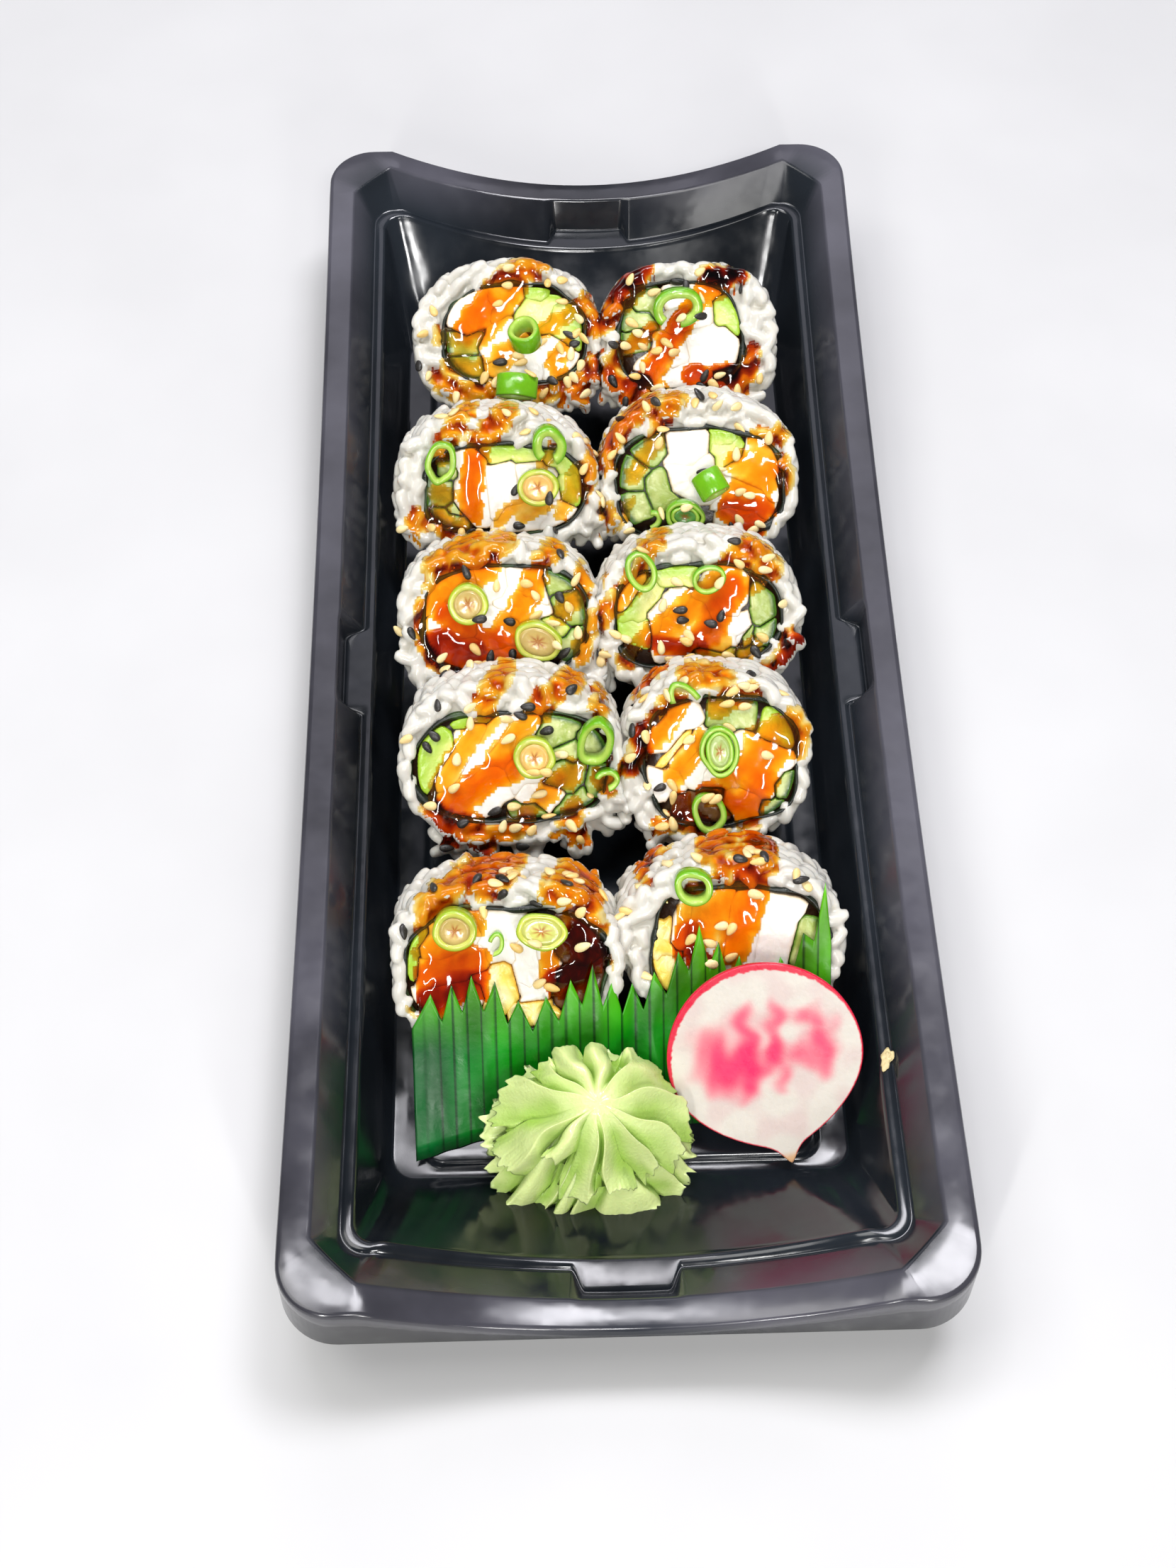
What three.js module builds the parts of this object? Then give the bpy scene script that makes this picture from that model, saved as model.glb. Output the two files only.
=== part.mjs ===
// Takeaway sushi tray: a long glossy plastic tray with a rim that dips between its corners, ten slices
// of inside-out roll leaning back in two columns, spring onion slices on them, and at the near end a
// strip of cut plastic grass, a piped rosette of wasabi and the cut cheek of a radish.
// Millimetres, +Z up, +Y towards the far end. The origin is the middle of the tray's underside.
import * as THREE from 'three';

// ---------------------------------------------------------------- driving dimensions
const SHEET = 0.8;                 // thickness of the formed plastic
const CLEARANCE = 0.3;             // gap that touching pieces keep
const TRAY = {
  halfWidth: 60, halfLength: 140,
  rimHeight: 29,                   // top of the level corner pads
  sideDip: 6.8, endDip: 11.5,      // how far the rim sags in the middle of a side and of an end
  pad: 14,                         // length of a corner pad along each side
  lipHeight: 16,                   // level lower edge of the outer skirt
  floor: 0.8, panel: 2.0,          // inner floor, and the raised panel on it
};
const NOTCH = { sideHalf: 11.5, endHalf: 10.5, taper: 2.6, sideDepth: 4.0, endDepth: 4.2 };
const PANEL_TOP = TRAY.panel + CLEARANCE;

const COLOURS = {
  tray: 0x16181c, rice: 0xece6d8, leaf: 0x0b8a1e, wasabi: 0xb9d472, radish: 0xd8264f, onion: 0x7fc52a,
};
const radians = THREE.MathUtils.degToRad;
const vector = (x, y, z) => new THREE.Vector3(x, y, z);

function material(colour, roughness) {
  return new THREE.MeshStandardMaterial({ color: colour, roughness, metalness: 0 });
}

// ---------------------------------------------------------------- closed solids from grids of points
function closedGeometry(points, triangles) {
  const geometry = new THREE.BufferGeometry();
  let volume = 0;
  for (const [a, b, c] of triangles) {
    volume += points[a].dot(points[b].clone().cross(points[c]));
  }
  const order = volume < 0 ? ([a, b, c]) => [a, c, b] : (triangle) => triangle;
  geometry.setAttribute('position', new THREE.Float32BufferAttribute(points.flatMap((p) => p.toArray()), 3));
  geometry.setIndex(triangles.flatMap(order));
  geometry.computeVertexNormals();
  return geometry;
}

function quad(a, b, c, d) {
  return [[a, b, c], [a, c, d]];
}

// Joins closed sections, each with the same number of points. An open run is capped at both ends.
function loft(sections, ring = false) {
  const count = sections[0].length;
  const points = sections.flat();
  const triangles = [];
  const rows = ring ? sections.length : sections.length - 1;
  for (let i = 0; i < rows; i += 1) {
    const next = (i + 1) % sections.length;
    for (let j = 0; j < count; j += 1) {
      const k = (j + 1) % count;
      triangles.push(...quad(i * count + j, i * count + k, next * count + k, next * count + j));
    }
  }
  if (!ring) {
    [[0, true], [sections.length - 1, false]].forEach(([row, first]) => {
      const centre = sections[row].reduce((sum, p) => sum.add(p), vector(0, 0, 0)).divideScalar(count);
      points.push(centre);
      for (let j = 0; j < count; j += 1) {
        const a = row * count + j;
        const b = row * count + ((j + 1) % count);
        triangles.push(first ? [b, a, points.length - 1] : [a, b, points.length - 1]);
      }
    });
  }
  return closedGeometry(points, triangles);
}

// ---------------------------------------------------------------- tray
// Stations run once round the tray. A side has places from -1 to 1, and a corner has five points.
function sidePlaces(coarse, notchHalf, reach) {
  const notch = [0, (notchHalf - NOTCH.taper) / reach, notchHalf / reach];
  const half = [...notch, ...coarse];
  return [...half.slice(1).reverse().map((t) => -t), ...half];
}
const LONG_PLACES = sidePlaces([0.2, 0.34, 0.5, 0.66, 0.83, 1], NOTCH.sideHalf, TRAY.halfLength - TRAY.pad);
const SHORT_PLACES = sidePlaces([0.42, 0.6, 0.8, 1], NOTCH.endHalf, TRAY.halfWidth - TRAY.pad);
const CORNER_STEPS = 5;

function cornerPoints(halfX, halfY, level) {
  const points = [];
  for (let i = 0; i < CORNER_STEPS; i += 1) {
    if (level.chamfer) {
      const w = (i + 1) / (CORNER_STEPS + 1);
      points.push([halfX - level.chamfer * w, halfY - level.chamfer * (1 - w)]);
    } else {
      const angle = (i / (CORNER_STEPS - 1)) * Math.PI / 2;
      const inX = level.radius * (1 - Math.cos(angle));
      const inY = level.radius * (1 - Math.sin(angle));
      points.push([halfX - inX, halfY - inY]);
    }
  }
  return points;
}

function rimHeight(place, dip) {
  return TRAY.rimHeight - dip * (1 - place * place);
}

// A level is one line round the tray. Its height is fixed, or follows the rim at a given drop.
function trayRing(level) {
  const { halfX, halfY } = level;
  const reach = level.chamfer ?? level.reach ?? level.radius + 2;
  const height = (place, dip) => (level.z ?? rimHeight(place, dip) - level.drop);
  const pushOut = (places, place, depth) => {
    const inner = places.filter((t) => t > 0)[0];
    return level.notched && Math.abs(place) <= inner + 1e-6 ? depth : 0;
  };
  const quarter = cornerPoints(halfX, halfY, level);
  const corner = (signX, signY, reverse) => {
    const points = quarter.map(([x, y]) => vector(signX * x, signY * y, height(1, 0)));
    return reverse ? points.reverse() : points;
  };
  const long = (sign) => LONG_PLACES.map((t) => {
    const x = halfX + pushOut(LONG_PLACES, t, NOTCH.sideDepth);
    return vector(sign * x, sign * t * (halfY - reach), height(t, TRAY.sideDip));
  });
  const short = (sign) => SHORT_PLACES.map((t) => {
    const y = halfY + pushOut(SHORT_PLACES, t, NOTCH.endDepth);
    return vector(-sign * t * (halfX - reach), sign * y, height(t, TRAY.endDip));
  });
  return [
    ...long(1), ...corner(1, 1, false), ...short(1), ...corner(-1, 1, true),
    ...long(-1), ...corner(-1, -1, false), ...short(-1), ...corner(1, -1, true),
  ];
}

const TRAY_LEVELS = [
  { halfX: 36.6, halfY: 102.2, radius: 4, z: TRAY.panel },
  { halfX: 37.4, halfY: 103.0, radius: 4.4, z: TRAY.floor },
  { halfX: 43.0, halfY: 105.0, radius: 4.5, z: TRAY.floor },
  { halfX: 47.2, halfY: 124.2, radius: 3.6, drop: 7.2 },
  { halfX: 47.7, halfY: 124.8, radius: 3.8, drop: 6.4 },
  { halfX: 49.2, halfY: 126.2, radius: 4.2, drop: 6.4, notched: true },
  { halfX: 49.8, halfY: 126.8, radius: 4.4, drop: 6.9, notched: true },
  { halfX: 54.25, halfY: 134.25, chamfer: 8.25, drop: 0 },
  { halfX: 59.5, halfY: 139.5, radius: 9.5, reach: TRAY.pad, drop: 0 },
  { halfX: 60, halfY: 140, radius: 10, reach: TRAY.pad, drop: 0.6 },
  { halfX: 60.5, halfY: 140.5, radius: 10.5, reach: TRAY.pad, z: TRAY.lipHeight },
];

// The underside lies one sheet thickness behind the top, mitred where the profile bends.
function undersideRings(rings) {
  const count = rings[0].length;
  const up = vector(0, 0, 1);
  const segmentNormal = (row, j) => {
    if (row < 0) return up.clone();
    const along = rings[row][(j + 1) % count].clone().sub(rings[row][(j + count - 1) % count]);
    const across = rings[row + 1][j].clone().sub(rings[row][j]);
    return across.cross(along).normalize();
  };
  return rings.map((ring, row) => ring.map((point, j) => {
    const before = segmentNormal(row - 1, j);
    const after = row < rings.length - 1 ? segmentNormal(row, j) : before;
    const mitre = before.clone().add(after).multiplyScalar(SHEET / (1 + before.dot(after)));
    return point.clone().sub(mitre);
  }));
}

function trayGeometry() {
  const rings = TRAY_LEVELS.map(trayRing);
  return loft([...rings, ...undersideRings(rings).reverse()]);
}

// ---------------------------------------------------------------- roll slices
// A slice stands on its lower back edge and leans back, so its cut face looks up towards -Y.
// place is the middle of the cut face; width and height are the size of the face.
const ROLLS = [
  { name: 'roll_1', place: [-19.1, 78.6], lean: 43, thick: 21, width: 40.8, height: 34, squareness: 2.3 },
  { name: 'roll_2', place: [20.8, 76.6], lean: 43, thick: 21, width: 38.1, height: 34, squareness: 2.7 },
  { name: 'roll_3', place: [-22.0, 36.2], lean: 49, thick: 21, width: 42.9, height: 33, squareness: 2.3 },
  { name: 'roll_4', place: [21.3, 38.3], lean: 47, thick: 21, width: 41.2, height: 34, squareness: 2.3 },
  { name: 'roll_5', place: [-21.6, 0.7], lean: 46, thick: 21, width: 39.6, height: 33, squareness: 2.8 },
  { name: 'roll_6', place: [19.2, 1.9], lean: 46, thick: 21, width: 41.4, height: 33, squareness: 2.4 },
  { name: 'roll_7', place: [-19.1, -31.2], lean: 47, thick: 20, width: 43.0, height: 33, squareness: 2.4 },
  { name: 'roll_8', place: [20.7, -31.9], lean: 46, thick: 20, width: 35.6, height: 34, squareness: 2.5 },
  { name: 'roll_9', place: [-20.6, -74.4], lean: 47, thick: 19, width: 42.0, height: 32, squareness: 2.5 },
  { name: 'roll_10', place: [21.4, -70.7], lean: 47, thick: 19, width: 41.2, height: 32, squareness: 2.3 },
];
const EDGE_ROUND = 1.6;            // rounding of the rice along both rims of a slice
const ROLL_SIDES = 24;

function faceHeight(roll) {
  const lean = radians(roll.lean);
  return PANEL_TOP + (roll.height / 2) * Math.sin(lean) + roll.thick * Math.cos(lean);
}

function rollSection(roll, inset, z) {
  const points = [];
  for (let i = 0; i < ROLL_SIDES; i += 1) {
    const angle = (i / ROLL_SIDES) * Math.PI * 2;
    const power = 2 / roll.squareness;
    const x = Math.sign(Math.cos(angle)) * Math.abs(Math.cos(angle)) ** power;
    const y = Math.sign(Math.sin(angle)) * Math.abs(Math.sin(angle)) ** power;
    points.push(vector(x * (roll.width / 2 - inset), y * (roll.height / 2 - inset), z));
  }
  return points;
}

function rollGeometry(roll) {
  return loft([
    rollSection(roll, EDGE_ROUND, -roll.thick),
    rollSection(roll, 0, -roll.thick + EDGE_ROUND),
    rollSection(roll, 0, -EDGE_ROUND),
    rollSection(roll, EDGE_ROUND * 0.3, -EDGE_ROUND * 0.3),
    rollSection(roll, EDGE_ROUND, 0),
  ]);
}

// ---------------------------------------------------------------- spring onion slices
// Each lies on a roll's face at [across, up] from its middle. radii are those of the oval tube, turn
// spins it in the face, tip raises its far side, and sweep under 360 leaves the ring open.
const ONIONS = [
  { on: 'roll_1', at: [4.0, 0.9], radii: [3.4, 4.4], length: 4.0, wall: 1.0, turn: 15, tip: -50 },
  { on: 'roll_1', at: [2.0, -10.0], radii: [4.6, 2.4], length: 5.0, wall: 0.9, turn: -6, tip: 74 },
  { on: 'roll_2', at: [-2.5, 7.6], radii: [5.6, 4.3], length: 3.2, wall: 1.1, turn: 10, tip: 14, sweep: 312 },
  { on: 'roll_3', at: [-11.0, 6.8], radii: [3.2, 4.6], length: 2.4, wall: 1.0, turn: -12, tip: 6 },
  { on: 'roll_3', at: [11.6, 10.2], radii: [3.5, 4.2], length: 3.2, wall: 1.0, turn: 20, tip: 12, sweep: 300 },
  { on: 'roll_3', at: [9.1, 1.2], radii: [4.3, 4.0], length: 2.6, wall: 1.4, turn: 0, tip: 0 },
  { on: 'roll_4', at: [-3.4, -7.4], radii: [4.2, 3.4], length: 3.0, wall: 1.3, turn: -12, tip: 8 },
  { on: 'roll_4', at: [1.8, -0.6], radii: [3.4, 2.6], length: 5.4, wall: 1.0, turn: 30, tip: 70 },
  { on: 'roll_4', at: [-11.2, -8.6], radii: [3.2, 2.2], length: 2.2, wall: 0.9, turn: 24, tip: 0, sweep: 150 },
  { on: 'roll_4', at: [5.4, -8.6], radii: [4.0, 3.0], length: 2.4, wall: 0.9, turn: -52, tip: 0, sweep: 120 },
  { on: 'roll_5', at: [-5.7, 5.6], radii: [4.1, 4.2], length: 3.2, wall: 1.5, turn: 0, tip: 0 },
  { on: 'roll_5', at: [8.1, -2.2], radii: [4.9, 3.8], length: 3.0, wall: 1.3, turn: -22, tip: 4 },
  { on: 'roll_6', at: [-11.8, 10.4], radii: [3.0, 4.3], length: 2.4, wall: 0.9, turn: 20, tip: 4 },
  { on: 'roll_6', at: [1.8, 8.4], radii: [3.5, 2.8], length: 2.0, wall: 0.7, turn: 16, tip: 4 },
  { on: 'roll_7', at: [4.5, 1.8], radii: [4.0, 4.0], length: 2.8, wall: 1.5, turn: 0, tip: 0 },
  { on: 'roll_7', at: [16.4, 5.0], radii: [3.5, 5.0], length: 2.8, wall: 1.1, turn: -18, tip: 18 },
  { on: 'roll_7', at: [18.4, -3.0], radii: [2.6, 2.2], length: 3.0, wall: 0.8, turn: 10, tip: 0, sweep: 240 },
  { on: 'roll_8', at: [-5.4, 11.4], radii: [5.6, 3.0], length: 1.6, wall: 0.9, turn: 128, tip: 0, sweep: 150 },
  { on: 'roll_8', at: [0.4, 2.6], radii: [3.8, 5.0], length: 2.8, wall: 1.3, turn: 4, tip: 0 },
  { on: 'roll_8', at: [-1.7, -9.8], radii: [3.3, 4.1], length: 2.4, wall: 0.9, turn: 14, tip: 0 },
  { on: 'roll_9', at: [-8.9, 8.2], radii: [4.0, 3.9], length: 3.4, wall: 1.5, turn: 0, tip: 0 },
  { on: 'roll_9', at: [6.8, 7.8], radii: [4.7, 3.4], length: 3.4, wall: 1.3, turn: -8, tip: -16 },
  { on: 'roll_9', at: [-1.6, 4.8], radii: [1.5, 2.4], length: 1.4, wall: 0.6, turn: -14, tip: 0, sweep: 260 },
  { on: 'roll_10', at: [-7.3, 12.0], radii: [3.7, 3.3], length: 3.0, wall: 1.0, turn: -28, tip: 6 },
];
const ONION_SIDES = 11;

function onionGeometry(onion) {
  const sweep = radians(onion.sweep ?? 360);
  const ring = onion.sweep === undefined;
  const steps = ring ? ONION_SIDES : Math.max(4, Math.round((ONION_SIDES * sweep) / (Math.PI * 2)));
  const sections = [];
  for (let i = 0; i < (ring ? steps : steps + 1); i += 1) {
    const angle = (i / steps) * sweep - Math.PI / 2;
    const outline = (inset, z) => vector(
      Math.cos(angle) * (onion.radii[0] - inset), Math.sin(angle) * (onion.radii[1] - inset), z);
    const half = onion.length / 2;
    const outer = [outline(0, -half), outline(0, half)];
    sections.push([...outer, outline(onion.wall, half), outline(onion.wall, -half)]);
  }
  return loft(sections, ring);
}

function onionLift(onion) {
  const tip = radians(Math.abs(onion.tip));
  return CLEARANCE + 0.1 + (onion.length / 2) * Math.cos(tip) + Math.max(...onion.radii) * Math.sin(tip);
}

// ---------------------------------------------------------------- plastic grass
// The strip stands on the panel, leans back to the near edges of the last two slices and then lies on
// their cut faces. Tips are [across, height above that edge].
const GRASS = {
  thickness: 0.4,
  left: [-38.2, 4.5], right: [39.6, 16],
  foot: [[-39, -102.1], [-32, -99.6], [-26, -97.8], [-16, -96.6], [-4, -96.0], [14, -95.6],
    [28, -94.6], [40, -95.4]],
  lift: 0.75,
  tips: [[-34.5, 11.3], [-30.6, 13.2], [-26.9, 14.8], [-22.6, 13.5], [-18.4, 9.6], [-13.3, 10.3], [-8.7, 13.5],
    [-4.6, 16.4], [-1.0, 12.2], [2.7, 9.2], [6.8, 11.1], [11.3, 15.0], [15.2, 20.2], [18.8, 16.6],
    [22.6, 14.0], [26.4, 12.5], [30.2, 13.5], [34.4, 18.0], [38.4, 27.7]],
  valley: 6.4,                     // how far a valley lies below the mean of its two tips
};

function grassFold(x) {
  const [leftRoll, rightRoll] = [ROLLS[8], ROLLS[9]];
  const edge = (roll) => {
    const lean = radians(roll.lean);
    const low = -roll.height / 2;
    return { y: roll.place[1] + low * Math.cos(lean), z: faceHeight(roll) + low * Math.sin(lean), lean };
  };
  const blend = THREE.MathUtils.smoothstep(x, -4, 4);
  const [a, b] = [edge(leftRoll), edge(rightRoll)];
  const mix = (key) => THREE.MathUtils.lerp(a[key], b[key], blend);
  const lean = mix('lean');
  const y = mix('y') - GRASS.lift * Math.sin(lean);
  return { y, z: mix('z') + GRASS.lift * Math.cos(lean), lean };
}

function grassFoot(x) {
  const { foot } = GRASS;
  const next = Math.max(1, foot.findIndex(([place]) => place >= x));
  const [[x0, y0], [x1, y1]] = [foot[next - 1], foot[next]];
  return THREE.MathUtils.lerp(y0, y1, (x - x0) / (x1 - x0));
}

// The top edge runs from the left end over every tip and the valleys between them to the right end.
function grassTop() {
  const top = [GRASS.left];
  GRASS.tips.forEach(([x, height], i) => {
    top.push([x, height]);
    const next = GRASS.tips[i + 1];
    if (next) top.push([(x + next[0]) / 2, Math.max(1, (height + next[1]) / 2 - GRASS.valley)]);
  });
  top.push(GRASS.right);
  return top;
}

function grassGeometry() {
  const edge = grassTop();
  const columns = edge.length;
  const front = [];
  const back = [];
  edge.forEach(([x, height]) => {
    const fold = grassFold(x);
    const foot = grassFoot(x);
    const along = { y: Math.cos(fold.lean), z: Math.sin(fold.lean) };
    const rows = [[foot, PANEL_TOP], [(foot + fold.y) / 2, (PANEL_TOP + fold.z) / 2], [fold.y, fold.z],
      [fold.y + height * along.y, fold.z + height * along.z]];
    back.push(rows.map(([y, z]) => vector(x, y, z)));
    front.push(rows.map(([y, z], row) => vector(
      x, y - along.z * GRASS.thickness, row ? z + along.y * GRASS.thickness : z)));
  });
  const rows = front[0].length;
  const points = [...front.flat(), ...back.flat()];
  const backStart = columns * rows;
  const triangles = [];
  const wall = (a, b) => triangles.push(...quad(a, b, b + backStart, a + backStart));
  for (let i = 0; i < columns; i += 1) {
    for (let j = 0; j < rows; j += 1) {
      const a = i * rows + j;
      if (i < columns - 1 && j < rows - 1) {
        triangles.push(...quad(a, a + 1, a + rows + 1, a + rows));
        const b = backStart + a;
        triangles.push(...quad(b, b + rows, b + rows + 1, b + 1));
      }
      if (i < columns - 1 && j === 0) wall(a, a + rows);
      if (i < columns - 1 && j === rows - 1) wall(a + rows, a);
      if (j < rows - 1 && i === 0) wall(a + 1, a);
      if (j < rows - 1 && i === columns - 1) wall(a, a + 1);
    }
  }
  return closedGeometry(points, triangles);
}

// ---------------------------------------------------------------- wasabi rosette
const WASABI = {
  centre: [-6.1, -101.6, 14.5], radii: [19.0, 13.4], slant: 24,
  apex: [-4.6, -99.6, 26.0],
  foot: { centre: [-6.1, -101.2], radii: [9, 3] },
  petals: 13, petalDepth: 0.09, ridge: 1.0, rimThickness: 1.6,
};

function wasabiRing(share, drop) {
  const points = [];
  const steps = WASABI.petals * 5;
  const [cx, cy, cz] = WASABI.centre;
  for (let i = 0; i < steps; i += 1) {
    const angle = (i / steps) * Math.PI * 2;
    const wave = Math.cos(angle * WASABI.petals);
    const reach = share * (1 + WASABI.petalDepth * wave * share);
    const rim = vector(
      cx + Math.cos(angle) * WASABI.radii[0] * reach,
      cy + Math.sin(angle) * WASABI.radii[1] * reach,
      cz + Math.sin(angle) * WASABI.radii[1] * Math.tan(radians(WASABI.slant)) * reach);
    const dome = (1 - share ** 1.5);
    const shift = vector(WASABI.apex[0] - cx, WASABI.apex[1] - cy, WASABI.apex[2] - cz).multiplyScalar(dome);
    rim.add(shift);
    rim.z += WASABI.ridge * wave * Math.sin(Math.PI * Math.min(1, share + 0.05)) - drop;
    points.push(rim);
  }
  return points;
}

function wasabiFoot(share, z) {
  const steps = WASABI.petals * 5;
  const { centre, radii } = WASABI.foot;
  return Array.from({ length: steps }, (_, i) => {
    const angle = (i / steps) * Math.PI * 2;
    return vector(centre[0] + Math.cos(angle) * radii[0] * share, centre[1] + Math.sin(angle) * radii[1] * share, z);
  });
}

function wasabiGeometry() {
  return loft([
    wasabiFoot(1, PANEL_TOP),
    wasabiFoot(1.1, PANEL_TOP + 4),
    wasabiRing(0.92, WASABI.rimThickness),
    wasabiRing(1, 0.6),
    wasabiRing(0.92, 0),
    wasabiRing(0.7, 0),
    wasabiRing(0.45, 0),
    wasabiRing(0.15, 0),
  ]);
}

// ---------------------------------------------------------------- radish cheek
const RADISH = {
  centre: [26.6, -90.8, 19.8], lean: 50, spin: 13.6,
  halfWidth: 18.0, top: 18.8, bottom: 19.0, root: 22.3, rootHalf: 0.16, depth: 7.5,
};

function radishOutline(share, z) {
  const sides = 36;
  return Array.from({ length: sides }, (_, i) => {
    const angle = (i / sides) * Math.PI * 2 + Math.PI / 2;
    const down = Math.max(0, -Math.sin(angle));
    const power = 2 / (2 - 0.42 * down);
    const x = Math.sign(Math.cos(angle)) * Math.abs(Math.cos(angle)) ** power * RADISH.halfWidth;
    const radiusY = down > 0 ? RADISH.bottom : RADISH.top;
    const y = Math.sign(Math.sin(angle)) * Math.abs(Math.sin(angle)) ** power * radiusY;
    const fromRoot = Math.abs(angle - 1.5 * Math.PI);
    const root = share ** 4 * (RADISH.root - RADISH.bottom) * Math.exp(-((fromRoot / RADISH.rootHalf) ** 2));
    return vector(x * share, y * share - root, z);
  });
}

function radishGeometry() {
  const shares = [1, 0.97, 0.86, 0.66, 0.4, 0.12];
  const depthAt = (share) => -RADISH.depth * Math.sqrt(1 - share * share);
  return loft(shares.map((share) => radishOutline(share, depthAt(share))));
}

// ---------------------------------------------------------------- assembly
const sushiTray = new THREE.Group();

function addMesh(parent, name, geometry, finish) {
  const mesh = new THREE.Mesh(geometry, finish);
  mesh.name = name;
  parent.add(mesh);
  return mesh;
}

addMesh(sushiTray, 'tray', trayGeometry(), material(COLOURS.tray, 0.15));

const rollFrames = new Map();
ROLLS.forEach((roll) => {
  const leaning = new THREE.Group();
  leaning.position.set(roll.place[0], roll.place[1], faceHeight(roll));
  leaning.rotation.x = radians(roll.lean);
  addMesh(leaning, roll.name, rollGeometry(roll), material(COLOURS.rice, 0.6));
  rollFrames.set(roll.name, leaning);
  sushiTray.add(leaning);
});

ONIONS.forEach((onion, i) => {
  const mesh = addMesh(rollFrames.get(onion.on), `onion_${i + 1}`, onionGeometry(onion), material(COLOURS.onion, 0.35));
  mesh.position.set(onion.at[0], onion.at[1], onionLift(onion));
  mesh.rotation.order = 'ZXY';
  mesh.rotation.set(radians(onion.tip), 0, radians(onion.turn));
});

addMesh(sushiTray, 'grass', grassGeometry(), material(COLOURS.leaf, 0.3));
addMesh(sushiTray, 'wasabi', wasabiGeometry(), material(COLOURS.wasabi, 0.55));

const radish = addMesh(sushiTray, 'radish', radishGeometry(), material(COLOURS.radish, 0.35));
radish.position.set(...RADISH.centre);
radish.rotation.order = 'XYZ';
radish.rotation.set(radians(RADISH.lean), 0, radians(RADISH.spin));

export default sushiTray;
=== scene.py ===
"""Looks of a takeaway sushi tray: ten glazed roll slices, spring onion, plastic grass, wasabi and radish.

Every length is in millimetres until MM turns it into metres. The tray's underside is z = 0 and +Y points
towards its far end. The slices lean back, so their cut faces look up towards -Y.
"""
import math

import bmesh
import bpy
import numpy as np
from mathutils import Matrix, Vector
from mathutils.bvhtree import BVHTree


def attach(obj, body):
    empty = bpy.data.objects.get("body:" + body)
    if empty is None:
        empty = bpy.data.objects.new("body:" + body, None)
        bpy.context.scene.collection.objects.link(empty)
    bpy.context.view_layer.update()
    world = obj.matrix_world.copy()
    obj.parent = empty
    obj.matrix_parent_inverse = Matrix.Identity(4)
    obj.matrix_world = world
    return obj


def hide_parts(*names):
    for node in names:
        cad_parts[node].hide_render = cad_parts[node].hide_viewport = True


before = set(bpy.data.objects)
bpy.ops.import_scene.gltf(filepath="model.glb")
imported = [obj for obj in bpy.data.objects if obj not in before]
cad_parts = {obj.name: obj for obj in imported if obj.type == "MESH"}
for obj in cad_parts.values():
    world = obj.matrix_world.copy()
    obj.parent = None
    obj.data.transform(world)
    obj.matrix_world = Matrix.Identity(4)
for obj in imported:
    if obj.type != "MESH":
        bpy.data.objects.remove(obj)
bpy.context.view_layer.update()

MM = 0.001

# ---------------------------------------------------------------- camera
CAMERA_PLACE = (-10.52, -251.22, 377.01)
CAMERA_TURNS = (0.5524, -0.0150, -0.0228)      # radians about X, then Y, then Z
FOCAL_LENGTH, SENSOR = 48.82, 36               # the sensor lies along the picture's long side
SIGHT = 20                                     # metres that the camera sees

# ---------------------------------------------------------------- sizes shared with the frame
SHEET = 0.8                        # thickness of the tray's plastic
TRAY = dict(half_width=60, half_length=140, rim=29, side_dip=6.8, end_dip=11.5, pad=14, lip=16,
            floor=0.8, panel=2.0)
NOTCH = dict(side_half=11.5, end_half=10.5, taper=2.6, side_depth=4.0, end_depth=4.2)
PANEL_TOP = TRAY["panel"] + 0.3    # foot of what stands on the tray's raised panel, just clear of it

# Rice squeezed out past a slice's outline, as (across, up, out, radius).
CLUMPS = {
    1: [(19.0, -8.0, -4.0, 3.2), (15.0, -12.5, -4.5, 3.2)],
    2: [(-16.5, -9.0, -4.0, 3.2), (-12.5, -13.5, -4.5, 3.0)],
    3: [(20.5, -9.0, -4.0, 3.0)],
    4: [(-18.5, -10.0, -4.0, 3.0)],
    5: [(19.5, -11.0, -4.0, 2.6)],
    6: [(-19.0, -11.5, -4.0, 2.4)],
    7: [(20.5, -7.5, -3.0, 3.2), (18.5, -12.0, -4.5, 3.4), (13.0, -16.5, -4.0, 2.8),
        (-13.0, -17.0, -4.5, 3.2), (-6.0, -18.0, -4.5, 3.2), (3.0, -17.5, -4.5, 3.0)],
    8: [(-16.0, -9.0, -3.5, 3.2), (-11.5, -15.0, -4.0, 3.0), (4.0, -17.5, -4.5, 2.2)],
}


def roll(place, lean, thick, width, height, square, ring):
    """place is the middle of the cut face, and ring the seaweed's left, right, low and high edge on it."""
    return dict(place=place, lean=lean, thick=thick, width=width, height=height, square=square, ring=ring)


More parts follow.
